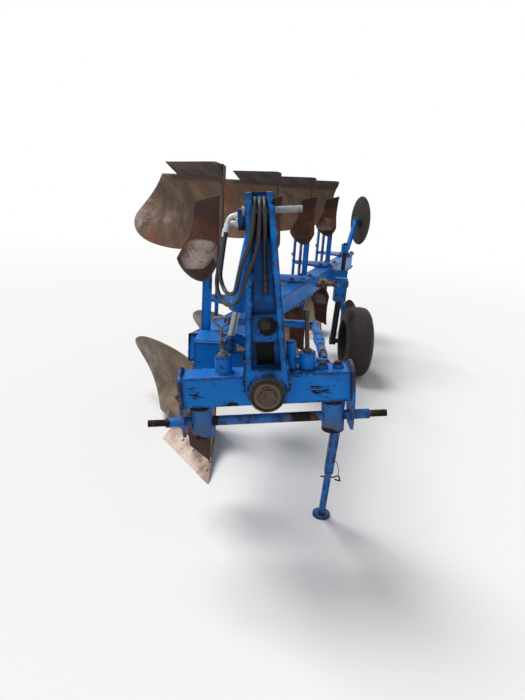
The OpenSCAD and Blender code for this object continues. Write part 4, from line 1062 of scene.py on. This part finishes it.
class PLOUGH_OT_boss(bpy.types.Operator):
    """Makes the turned rings, the retaining nut and the shaft of the turnover boss"""
    bl_idname = "plough.boss"
    bl_label = "Turnover boss"

    def execute(self, context):
        front = on_frame((0, 0, 0))
        shaft = [[0, -0.0138], [0.0505, -0.0138], [0.052, -0.012], [0.052, -0.001], [0.0535, 0.0005],
                 [0.0595, 0.0005], [0.0605, -0.0006], [0.0685, -0.0006], [0.069, 0.001], [0.069, 0.0114],
                 [0.045, 0.0114], [0.045, 0.3447], [0, 0.3447]]
        put_piece("boss_shaft", lathe(shaft, front, (0, 1, 0), 72), "dark_steel", "plough_frame",
                  ["turnover_shaft"], sharp=35)
        rings = []
        end = -0.0130
        for inner, outer, start in ((0.0395, 0.0500, -0.0175), (0.0330, 0.0385, -0.0215)):
            profile = [[inner, start], [inner + 0.001, start - 0.0008], [outer - 0.0015, start - 0.0008],
                       [outer, start + 0.001], [outer, end], [inner, end]]
            rings.append(ring(profile, front, 1))
        put_piece("boss_rings", joined(rings), "ring_steel", "plough_frame", sharp=35)
        rows = [[0, -0.0335], [0.010, -0.0330], [0.0175, -0.0315], [0.0195, -0.0300], [0.0205, -0.0288],
                [0.0265, -0.0288], [0.0295, -0.0270], [0.0295, -0.0125], [0, -0.0125]]
        nut = lathe(rows, front, (0, 1, 0), 48, hexed([0, 0, 0, 0, 0, 0.5, 1, 1, 0]))
        put_piece("boss_nut", nut, "nut", "plough_frame", sharp=35)
        seal = tube(front + round_axis(full_turn(60), 0.0645, -0.0005, 1), 0.0052, 12, True)
        put_piece("boss_seal", seal, "hose", "plough_frame",
                  values={"along": np.zeros(len(seal[0]))})
        return {"FINISHED"}


# ---- Wheel and discs --------------------------------------------------------------------------

def joint_place(name):
    """A joint's own point."""
    return np.array(next(j for j in frame["joints"] if j["name"] == name)["pos_m"])


class PLOUGH_OT_wheel(bpy.types.Operator):
    """Makes the depth wheel's tyre and dished rim as turned profiles"""
    bl_idname = "plough.wheel"
    bl_label = "Depth wheel"

    def execute(self, context):
        axle = joint_place("depth_wheel_spin")
        radius, half, rim = 0.315, 0.1175, 0.190
        t = np.linspace(-1, 1, 33)
        crown = np.sign(t) * np.abs(t) ** 0.9
        bulge = rim + 0.0005 + (radius - rim - 0.0005) * (1 - np.abs(t) ** 3.2) ** 0.42
        groove = 0.004 * sum(np.exp(-((t - g) / 0.035) ** 2) for g in (-0.36, 0.0, 0.36))
        outside = np.stack([bulge - groove, crown * half], -1)
        inside = [[rim + 0.0004, half - 0.024], [rim + 0.0004, -half + 0.024]]
        put_piece("tyre_rubber", ring(np.vstack([outside, inside]), axle, 0, 96), "tyre",
                  "depth_wheel", ["tyre"], sharp=50)
        dish = [
            [0.0201, -0.060], [0.044, -0.060], [0.048, -0.057], [0.048, -0.032], [0.060, -0.030],
            [0.110, -0.040], [0.150, -0.052], [0.165, -0.050], [0.174, -0.040], [0.180, -0.060],
            [0.180, -0.090], [0.186, -0.0935], [0.190, -0.0935], [0.190, 0.0935], [0.186, 0.0935],
            [0.182, 0.090], [0.182, 0.0], [0.176, -0.028], [0.165, -0.038], [0.150, -0.040],
            [0.110, -0.028], [0.060, -0.018], [0.048, -0.016], [0.048, 0.037], [0.045, 0.040],
            [0.0201, 0.040]]
        put_piece("rim_dish", ring(dish, axle, 0, 96), "black", "depth_wheel",
                  ["wheel_rim"], sharp=35)
        spots = axle + round_axis(full_turn(6), 0.082, -0.0375, 0)
        put_bolts("wheel_nuts", 0.009, spots, (-1, 0, 0), "depth_wheel")
        return {"FINISHED"}


class PLOUGH_OT_discs(bpy.types.Operator):
    """Makes the two disc coulters with sharpened edges and bolted hubs"""
    bl_idname = "plough.discs"
    bl_label = "Disc coulters"

    def execute(self, context):
        blade = np.array([
            [0.0121, -0.020], [0.044, -0.020], [0.050, -0.016], [0.050, -0.003], [0.195, -0.003],
            [0.2245, 0.0], [0.195, 0.003], [0.050, 0.003], [0.050, 0.015], [0.046, 0.018],
            [0.0121, 0.018]])
        spots = round_axis(full_turn(5), 0.034, 0.0178, 0)
        toe, steps = math.radians(DISC_TOE), 96
        c, s = math.cos(toe), math.sin(toe)
        turned = np.array([[c, s, 0], [-s, c, 0], [0, 0, 1]])
        for _, side in SIDES:
            centre = joint_place(f"disc_{side}_spin")
            points, faces = ring(blade, (0, 0, 0), 0, steps)
            radii = np.repeat(blade[:, 0], steps)
            values = {"slice_u": np.tile(np.linspace(0, 2, steps), len(blade)), "slice_v": radii,
                      "polish": np.clip((radii - 0.12) / 0.10, 0, 0.5),
                      "rim": np.exp(-np.abs(radii - 0.05) / 0.02)}
            put_piece(f"disc_blade_{side}", (centre + points @ turned, faces), "discs", f"disc_{side}",
                      [f"disc_{side}"], values=values, sharp=30)
            put_bolts(f"disc_bolts_{side}", 0.0055, centre + spots @ turned, turned[0], f"disc_{side}")
        return {"FINISHED"}


# ---- Headstock details ------------------------------------------------------------------------

def mast_half(z):
    """Half the mast's width at a height above the turnover axis."""
    foot, head = MAST_HALF
    low, high = MAST_HEIGHT
    return foot + (head - foot) * (z - low) / (high - low)


def level_circle(x, z, radius):
    """A closed level circle whose middle is on the cross tube's middle line."""
    return round_axis(np.linspace(0, TAU, 40), radius, z, 2) + [x, CROSS_MID, 0]


def upright_arc(radius, y, first, last):
    """An arc about the turnover axis in the plane of one y, angles in degrees from the right."""
    return round_axis(np.radians(np.linspace(first, last, 40)), radius, y, 1)


class PLOUGH_OT_welds(bpy.types.Operator):
    """Lays the weld beads of the headstock and of the frame"""
    bl_idname = "plough.welds"
    bl_label = "Welds"

    def execute(self, context):
        beads = []
        for side in (-1, 1):
            # round the cross tube's end, then along the mast's foot and up the inside of its side plate
            x = side * 0.3295
            beads.append([(x, 0.05, -0.060), (x, 0.05, 0.060), (x, 0.17, 0.060), (x, 0.17, -0.060),
                          (x, 0.05, -0.060)])
            beads.append([(side * 0.081, 0.052, 0.0615), (side * 0.081, 0.169, 0.0615)])
            beads.append([(side * 0.0885, 0.0485, 0.002), (side * 0.0885, 0.0485, 0.058)])
            beads.append([(side * mast_half(0.135), 0.0215, 0.135), (side * 0.0875, 0.0215, 0.062),
                          (side * 0.0875, 0.0215, 0.004)])
            z = np.linspace(0.200, 0.575, 30)
            beads.append(np.stack([side * (mast_half(z) - MAST_INSET), np.full(30, 0.0795), z], -1))
            # round the link bracket's bush and the stop column
            beads.append(level_circle(side * BUSH_X, -0.0615, 0.0465))
            beads.append(level_circle(side * COLUMN_X, 0.0610, 0.0335))
        beads.append(level_circle(0.102, 0.0610, 0.0205))
        beads.append(upright_arc(HOUSING_WELD, 0.0215, -2, 182))
        beads += [upright_arc(HOUSING_WELD, y, 182, 358) for y in (0.0485, 0.1715)]
        put_piece("headstock_welds", joined(weld(on_headstock(b)) for b in beads), "worn_blue", "headstock")
        layout, frame_beads = context.scene.plough_layout, []
        flange = [(-0.162, 0.3745, -0.060), (-0.162, 0.3745, 0.088), (-0.310, 0.3745, 0.088)]
        frame_beads.append(weld(on_frame(flange), 0.005))
        end = np.array([beam_x(0.5615), 0.5605, 0.0]) + [
            [-0.067, 0, -0.06], [-0.067, 0, 0.065], [0.067, 0, 0.065], [0.067, 0, -0.065],
            [-0.067, 0, -0.065]]
        frame_beads.append(weld(on_frame(end), 0.005))
        base = TURN[2] - layout.beam_side / 2 - 0.0190
        for i, upper in EACH_BODY:
            for x in (-0.0950, -0.0130):
                frame_beads.append(weld(at_body([(x, 0.614, base), (x, 0.705, base)], i, upper)))
        put_piece("frame_welds", joined(frame_beads), "worn_blue", "plough_frame")
        return {"FINISHED"}


def flush_head(size=0.010):
    """A plough bolt's shallow domed head, standing along +Z."""
    rows = np.array([[0.0, -0.3], [1.0, -0.3], [1.0, 0.04], [0.86, 0.12], [0.45, 0.16], [0.40, 0.05],
                     [0.0, 0.04]]) * size
    return lathe(rows, (0, 0, 0), (0, 0, 1), 20)


class PLOUGH_OT_bolts(bpy.types.Operator):
    """Sets the bolts of the clamps, legs, boards, shares, wheel bracket and mast"""
    bl_idname = "plough.bolts"
    bl_label = "Bolts"

    def execute(self, context):
        layout = context.scene.plough_layout
        slope = layout.furrow_width / layout.body_spacing
        clamp_top = TURN[2] + layout.beam_side / 2 + 0.0183
        up = np.array([0.0, 0.0, 1.0])
        places, ways = [], []
        for i in range(BODY_COUNT):
            spots = np.array([(layout.beam_shift + y * slope + x, y, clamp_top)
                              for y in (0.490, 0.715) for x in (-0.042, 0.042)])
            places += [at_body(spots, i, False), at_body(2 * TURN[2] * up + spots * [1, 1, -1], i, False)]
            ways += [np.tile(up, (4, 1)), np.tile(-up, (4, 1))]
        put_bolts("clamp_bolts", 0.0150, np.vstack(places), np.vstack(ways))
        on_leg = [(-0.0945, 0.660, z) for z in (0.30, 0.40, 0.70)]
        places = np.vstack([at_body(on_leg, i, upper) for i, upper in EACH_BODY])
        put_bolts("leg_bolts", 0.0120, places, (-1, 0, 0))
        self.flush_bolts()
        self.small_bolts()
        return {"FINISHED"}

    def flush_bolts(self):
        """Domed heads on boards, shares and landsides, each square to its surface."""
        b = bpy.context.scene.plough_board
        form, lift = board_form(), b.share_lift
        u = np.array([0.075, 0.080, 0.100, 0.300, 0.450, 0.230])
        z = np.array([0.150, 0.255, 0.360, 0.105, 0.105, 0.240])
        on_board, board_way = ruled_surface(form, lift, u, z), front_normal(form, lift, u, z)
        a, v = np.array([0.105, 0.150, 0.330, 0.480]), np.array([0.055, 0.100, 0.085, 0.085])
        on_share = share_point(a, v)
        share_way = np.tile(unit(share_point(0.0, 0.0) - share_point(0.0, 0.0, 1.0)), (4, 1))
        on_side = np.array([(0.0, y, z) for y, z in ((0.36, 0.035), (0.52, 0.055), (0.66, 0.055))])
        side_way = np.tile([1.0, 0.0, 0.0], (3, 1))
        for upper, side in SIDES:
            flip = np.array([1, 1, -1 if upper else 1])
            places, ways = [], []
            for i in range(BODY_COUNT):
                places += [at_body(points, i, upper) for points in (on_board, on_share, on_side)]
                ways += [board_way * flip, share_way * flip, side_way]
            heads = repeated(flush_head(), np.vstack(places), np.vstack(ways))
            put_piece(f"plough_bolts_{side}", heads, "dark_steel", "plough_frame")

    def small_bolts(self):
        """Cap nuts on the cross tube, and the bolts of the mast, the wheel bracket and the flange."""
        caps = on_headstock([(x, CROSS_MID, 0.0745) for x in (0.225, 0.285)])
        put_bolts("cap_nuts", 0.0125, caps, leaning((0, 0, 1)), "headstock", 0.8, "black")
        mast_bolt = on_headstock([(0.0, 0.0445, 0.262)])
        put_bolts("mast_bolt", 0.0165, mast_bolt, (0, -1, 0), "headstock", 0.7, "black")
        arm = joint_place("wheel_arm_swing")
        spots = [(0.725 + x + TURN[0], arm[1] - 0.0445, TURN[2] + z)
                 for x in (-0.030, 0.030) for z in (-0.005, -0.100)]
        put_bolts("bracket_bolts", 0.0090, spots, (0, -1, 0), "wheel_arm")
        turn = np.radians([20, 70, 160, 200, 250, 290, 340])
        put_bolts("flange_bolts", 0.0110, on_frame(round_axis(turn, 0.090, 0.3448, 1)), (0, -1, 0))


class PLOUGH_OT_fittings(bpy.types.Operator):
    """Makes the mast's bolt plate, the latch with its D-shaped handle, and the right column's screw"""
    bl_idname = "plough.fittings"
    bl_label = "Headstock fittings"

    def execute(self, context):
        low, high = 0.196, 0.302
        low_x, high_x = mast_half(low) - MAST_INSET, mast_half(high) - MAST_INSET
        outline = on_headstock([(-low_x, 0.046, low), (low_x, 0.046, low), (high_x, 0.046, high),
                                (-high_x, 0.046, high)])
        back = leaning((0, 0.010, 0))
        put_piece("mast_plate", slab(outline, back), "mast", "headstock", bevel=0.002)
        # A near-black plate in the mast's opening stands for the shade of the hollow behind it: painted
        # shade
        half = 0.0555
        shade_outline = on_headstock([(x, 0.104, z) for x, z in (
            (-half, 0.0735), (half, 0.0735), (half, 0.215), (-half, 0.215))])
        put_piece("window_shade_plate", slab(shade_outline, back), "window", "headstock", bevel=0.002)
        handle = bend_route([(x, CROSS_MID, z) for x, z in (
            (-0.165, 0.226), (-0.165, 0.240), (-0.1345, 0.268), (-0.137, 0.2825), (-0.193, 0.2825),
            (-0.1955, 0.268), (-0.165, 0.240))], 0.008, 10)
        stem = [[0, 0.1306], [0.0200, 0.1306], [0.0200, 0.1400], [0.0185, 0.1426], [0.0095, 0.1430],
                [0.0095, 0.1560], [0.0080, 0.1600], [0.0060, 0.1610], [0.0060, 0.2390], [0, 0.2400]]
        base, way = on_headstock((-COLUMN_X, CROSS_MID, 0.0)), leaning((0, 0, 1))
        coil_turn = np.linspace(0, 5 * TAU, 80)
        coil = np.stack([-COLUMN_X + 0.0098 * np.cos(coil_turn), CROSS_MID + 0.0098 * np.sin(coil_turn),
                         0.158 + 0.030 * coil_turn / coil_turn[-1]], -1)
        latch = [tube(on_headstock(handle), 0.0052, 14), lathe(stem, base, way, 36),
                 tube(on_headstock(coil), 0.0016, 8)]
        put_piece("latch_handle", joined(latch), "handle", "headstock", ["latch_pin"])
        z = np.linspace(0.150, 0.262, 90)
        thread = np.stack([0.0088 + 0.0006 * np.cos(TAU * z / 0.0050), z], -1)
        screw = np.vstack([[[0, 0.1306], [0.0180, 0.1306], [0.0180, 0.1406], [0.0140, 0.1440],
                            [0.0088, 0.1445]], thread,
                           [[0.0088, 0.263], [0.0115, 0.264], [0.0120, 0.266], [0.0120, 0.294],
                            [0.0105, 0.300], [0, 0.3004]]])
        right = on_headstock((COLUMN_X, CROSS_MID, 0.0))
        put_piece("column_screw", lathe(screw, right, way, 28), "dark_steel", "headstock")
        self.stand_pin()
        return {"FINISHED"}

    def stand_pin(self):
        """A bent wire pin through the parking leg, hanging from its tube."""
        foot, top = np.array([0.352, 0.490, -TURN[2]]), np.array([0.330, 0.204, 0.070])
        along = unit(top - foot)
        middle = foot + 0.285 * along
        wire = bend_route([middle + step for step in (
            (-0.034, 0.0, 0.004), (0.030, 0.0, 0.0), (0.052, -0.004, 0.014), (0.064, -0.006, -0.016),
            (0.036, -0.004, -0.008))], 0.007, 6)
        chain = bend_route([middle + step for step in (
            (0.052, -0.004, 0.014), (0.044, -0.030, 0.060), (0.030, -0.040, 0.105))]
            + [foot + 0.400 * along + (0.0215, 0.0, 0.0)], 0.012, 6)
        put_piece("stand_pin", joined([tube(on_frame(wire), 0.0036, 10), tube(on_frame(chain), 0.0016, 8)]),
                  "black", "headstock")


def cylinder_line():
    """Upper pin and rod eye of the turnover cylinder, from the turnover axis."""
    lean = bpy.context.scene.plough_layout.headstock_lean
    return [np.array([-reach * math.sin(angle), CYLINDER_Y, reach * math.cos(angle)])
            for reach, angle in ((PIN_REACH, lean), (CRANK_REACH, math.radians(CRANK_ANGLE)))]


def eyelet(bore, shoulder, outer):
    """The closed (radius, distance) profile of a cylinder's eye, chamfered on both faces."""
    return [[bore, -0.022], [shoulder, -0.022], [outer, -0.020], [outer, 0.020], [shoulder, 0.022],
            [bore, 0.022]]


class PLOUGH_OT_cylinder(bpy.types.Operator):
    """Makes the turnover cylinder's barrel with its gland and ports, and the chromed rod"""
    bl_idname = "plough.cylinder"
    bl_label = "Turnover cylinder"

    def execute(self, context):
        top, eye = cylinder_line()
        way = unit(eye - top)
        length = np.linalg.norm(eye - top)
        barrel = [[0.0, 0.031], [0.020, 0.031], [0.0300, 0.034], [0.0320, 0.040], [0.0320, 0.384],
                  [0.0335, 0.387], [0.0350, 0.389], [0.0350, 0.398], [0.0338, 0.399], [0.0338, 0.401],
                  [0.0350, 0.402], [0.0350, 0.415], [0.0335, 0.418], [0.0185, 0.418], [0.0165, 0.4165],
                  [0.0152, 0.4160], [0.0152, 0.300], [0.0, 0.300]]
        side = unit(np.array([-way[2], 0.0, way[0]]))
        port = [[0, 0.026], [0.0130, 0.026], [0.0130, 0.040], [0.0115, 0.042], [0.0080, 0.042],
                [0.0080, 0.052], [0.0, 0.052]]
        ports = [lathe(port, on_frame(top + d * way), side, 28) for d in (NEAR_PORT, FAR_PORT)]
        pipe = bend_route([top + d * way + out * side for d, out in (
            (FAR_PORT, 0.048), (FAR_PORT, 0.060), (0.330, 0.060), (0.100, 0.058), (NEAR_PORT, 0.060),
            (NEAR_PORT, 0.048))], 0.010, 8)
        socket = ring(eyelet(0.01507, 0.034, 0.036), on_frame(top), 1)
        shapes = [lathe(barrel, on_frame(top), way, 56), socket] + ports
        put_piece("barrel_shell", joined(shapes), "enamel", "cylinder_barrel",
                  ["cylinder_barrel"], sharp=35)
        put_piece("barrel_pipe", tube(on_frame(pipe), 0.0045, 12), "worn_blue", "cylinder_barrel")
        rod = [[0, 0.170], [0.0138, 0.170], [0.0150, 0.172], [0.0150, length - 0.030],
               [0, length - 0.030]]
        put_piece("rod_bar", lathe(rod, on_frame(top), way, 40), "chrome", "cylinder_rod",
                  ["cylinder_rod"])
        stub = [[0, -0.030], [0.0135, -0.030], [0.0150, -0.0285], [0.0150, 0.0285], [0.0135, 0.030],
                [0, 0.030]]
        collar = [[0, length - 0.050], [0.0145, length - 0.050], [0.0190, length - 0.048],
                  [0.0230, length - 0.036], [0.0200, length - 0.026], [0.0145, length - 0.026],
                  [0, length - 0.026]]
        shapes = [ring(eyelet(0.0149, 0.030, 0.032), on_frame(eye), 1),
                  lathe(stub, on_frame(eye), (0, 1, 0), 32), lathe(collar, on_frame(top), way, 36)]
        put_piece("rod_eye", joined(shapes), "worn_blue", "cylinder_rod", sharp=35)
        return {"FINISHED"}


class PLOUGH_OT_spindle(bpy.types.Operator):
    """Dresses the adjusting spindle with its turnbuckle sleeve, threads and lock nuts"""
    bl_idname = "plough.spindle"
    bl_label = "Adjusting spindle"

    def execute(self, context):
        start, end = np.array([0.268, 0.413, 0.030]), np.array([0.268, 0.800, 0.090])
        way = unit(end - start)
        sleeve = [[0, 0.028], [0.0165, 0.028], [0.0212, 0.032], [0.0212, 0.150], [0.0235, 0.154],
                  [0.0235, 0.206], [0.0212, 0.210], [0.0212, 0.355], [0.0165, 0.359], [0, 0.359]]
        sleeve = lathe(sleeve, on_frame(start), way, 36, hexed([0, 0, 0, 0, 1, 1, 0, 0, 0, 0]))
        put_piece("spindle_sleeve", sleeve, "worn_blue", "plough_frame", sharp=30)
        d = np.linspace(0.002, 0.027, 30)
        thread = np.stack([0.0118 + 0.0007 * np.cos(TAU * d / 0.004), d], -1)
        screw = np.vstack([[[0, d[0]]], thread, [[0, d[-1]]]])
        shapes = [lathe(screw, on_frame(place), side, 28) for place, side in ((start, way), (end, -way))]
        nut = [[0, 0.018], [0.0185, 0.018], [0.0200, 0.0195], [0.0200, 0.0270], [0, 0.0270]]
        shapes.append(lathe(nut, on_frame(start), way, 36, lambda turn: np.tile(hexagon(turn), (5, 1))))
        put_piece("spindle_threads", joined(shapes), "ring_steel", "plough_frame", sharp=30)
        return {"FINISHED"}


# ---- Carried-over pieces ----------------------------------------------------------------------

class PLOUGH_OT_paint(bpy.types.Operator):
    """Gives the carried-over steel pieces their finishes"""
    bl_idname = "plough.paint"
    bl_label = "Paint"

    def execute(self, context):
        repaint("mast", "mast")
        repaint("enamel", "bearing_housing", "stop_columns", "console", "main_beam", "leg_1", "leg_2",
                "leg_3", "leg_4", "skimmer_stems", "coulter_arms")
        repaint("cross", "cross_tube")
        repaint("brackets", "link_bracket_left", "link_bracket_right")
        repaint("shaft", "lower_link_shaft")
        repaint("worn_blue", "adjusting_spindle", "stand_leg", "stand_tube")
        repaint("arm", "wheel_arm")
        repaint("post", "coulter_stem")
        repaint("rusty", "wheel_pivot")
        repaint("grey", "top_link_pin")
        repaint("shares", "landsides")
        return {"FINISHED"}


# ---- Stage ------------------------------------------------------------------------------------

def stage_floor():
    """A wide pale floor that keeps the shadow near the machine and fades to the background's white."""
    mesh = bpy.data.meshes.new("floor")
    reach = 40.0
    corners = [(-reach, -reach, 0), (reach, -reach, 0), (reach, reach, 0), (-reach, reach, 0)]
    mesh.from_pydata(corners, [], [(0, 1, 2, 3)])
    floor = bpy.data.objects.new("floor", mesh)
    bpy.context.scene.collection.objects.link(floor)
    f = Finish("Pale floor", specular=0.1)
    f.shader.inputs["Base Color"].default_value = (0.78, 0.775, 0.765, 1)
    f.shader.inputs["Roughness"].default_value = 0.9
    glow = f.add("ShaderNodeEmission", {"Color": (1, 1, 1, 1), "Strength": 1.0})
    away = f.add("ShaderNodeVectorMath", {0: f.place}, operation="LENGTH").outputs["Value"]
    fade = f.times(f.between(away, 4.0, 12.0), f.direct())
    blend = f.add("ShaderNodeMixShader", {0: fade, 1: f.shader.outputs[0], 2: glow.outputs[0]})
    f.tree.links.new(blend.outputs[0], f.output.inputs["Surface"])
    mesh.materials.append(f.material)


def stage_world():
    """Soft grey light from all round, seen as white behind the machine and in its reflections."""
    world = bpy.data.worlds.new("Studio")
    nodes = Nodes(world)
    soft = nodes.add("ShaderNodeBackground", {"Color": (0.93, 0.96, 1.0, 1), "Strength": 0.36})
    white = nodes.add("ShaderNodeBackground", {"Color": (1, 1, 1, 1)})
    pick = nodes.add("ShaderNodeMixShader", {0: nodes.direct(), 1: soft.outputs[0], 2: white.outputs[0]})
    nodes.add("ShaderNodeOutputWorld", {"Surface": pick.outputs[0]})
    bpy.context.scene.world = world


def stage_lamp(name, source, strength, spread, colour):
    """A wide soft lamp far away in the direction source."""
    light = bpy.data.lights.new(name, "SUN")
    light.energy, light.angle, light.color = strength, math.radians(spread), colour
    lamp = bpy.data.objects.new(name, light)
    lamp.matrix_world = looking(np.zeros(3), -np.asarray(source, float))
    bpy.context.scene.collection.objects.link(lamp)


def looking(place, way, roll=0.0):
    """A matrix whose -Z runs along way and whose Y is up, turned by roll."""
    back = -unit(way)
    right = unit(np.cross([0.0, 0.0, 1.0], back))
    up = np.cross(back, right)
    c, s = math.cos(roll), math.sin(roll)
    right, up = c * right + s * up, c * up - s * right
    matrix = np.eye(4)
    matrix[:3, 0], matrix[:3, 1], matrix[:3, 2], matrix[:3, 3] = right, up, back, place
    return Matrix(matrix.tolist())


# The photograph's camera, fitted: focal length and picture height in pixels, angles in degrees,
# place from the turnover axis at the boss face, and height above the ground
FOCAL_PIXELS, PICTURE_HEIGHT, SENSOR = 526, 700, 36
CAMERA_PITCH, CAMERA_YAW, CAMERA_ROLL = 17.2, 2.7, 3.77
CAMERA_X, CAMERA_Y, CAMERA_HEIGHT = -0.117, -1.846, 1.6


class PLOUGH_OT_stage(bpy.types.Operator):
    """Makes the floor, the soft studio light and the camera"""
    bl_idname = "plough.stage"
    bl_label = "Stage"

    def execute(self, context):
        scene = context.scene
        stage_floor()
        stage_world()
        stage_lamp("Key", (-0.42, 0.22, 0.88), 2.9, 30, (1.0, 0.985, 0.96))
        stage_lamp("Front", (-0.35, -0.80, 0.45), 0.40, 60, (0.97, 0.985, 1.0))
        camera = bpy.data.cameras.new("Camera")
        camera.sensor_width = SENSOR
        camera.sensor_fit = "AUTO"
        camera.lens = FOCAL_PIXELS / PICTURE_HEIGHT * SENSOR
        camera.clip_end = 200
        pitch, yaw = math.radians(CAMERA_PITCH), math.radians(CAMERA_YAW)
        way = np.array([math.cos(pitch) * math.sin(yaw), math.cos(pitch) * math.cos(yaw), -math.sin(pitch)])
        eye = bpy.data.objects.new("Camera", camera)
        place = np.array([TURN[0] + CAMERA_X, TURN[1] + CAMERA_Y, CAMERA_HEIGHT])
        eye.matrix_world = looking(place, way, math.radians(CAMERA_ROLL))
        scene.collection.objects.link(eye)
        scene.camera = eye
        scene.view_settings.view_transform = "Standard"
        return {"FINISHED"}


class PLOUGH_PT_panel(bpy.types.Panel):
    """Lists the pieces of the plough"""
    bl_label = "Plough"
    bl_idname = "PLOUGH_PT_panel"
    bl_space_type = "VIEW_3D"
    bl_region_type = "UI"
    bl_category = "Plough"

    def draw(self, context):
        for step in STEPS:
            self.layout.operator(step.bl_idname)
        for name in ("plough_layout", "plough_board", "plough_skimmer", "plough_colours"):
            group = getattr(context.scene, name)
            box = self.layout.box()
            for key in group.bl_rna.properties.keys():
                if key not in ("rna_type", "name"):
                    box.prop(group, key)


GROUPS = (("plough_layout", PloughLayout), ("plough_board", BoardSizes), ("plough_skimmer", SkimmerSizes),
          ("plough_colours", PloughColours))
STEPS = (PLOUGH_OT_stage, PLOUGH_OT_hoses, PLOUGH_OT_paint, PLOUGH_OT_mouldboards, PLOUGH_OT_shares,
         PLOUGH_OT_skimmers, PLOUGH_OT_boss, PLOUGH_OT_fittings, PLOUGH_OT_welds, PLOUGH_OT_bolts,
         PLOUGH_OT_cylinder, PLOUGH_OT_spindle, PLOUGH_OT_wheel, PLOUGH_OT_discs)


def register():
    for _, group in GROUPS:
        bpy.utils.register_class(group)
    for step in STEPS:
        bpy.utils.register_class(step)
    bpy.utils.register_class(PLOUGH_PT_panel)
    for name, group in GROUPS:
        setattr(bpy.types.Scene, name, bpy.props.PointerProperty(type=group))


def unregister():
    for name, _ in GROUPS:
        delattr(bpy.types.Scene, name)
    bpy.utils.unregister_class(PLOUGH_PT_panel)
    for step in reversed(STEPS):
        bpy.utils.unregister_class(step)
    for _, group in reversed(GROUPS):
        bpy.utils.unregister_class(group)


def main():
    """Registers the add-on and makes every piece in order."""
    register()
    make_finishes()
    for step in STEPS:
        area, name = step.bl_idname.split(".")
        getattr(getattr(bpy.ops, area), name)()


if __name__ == "__main__":
    main()
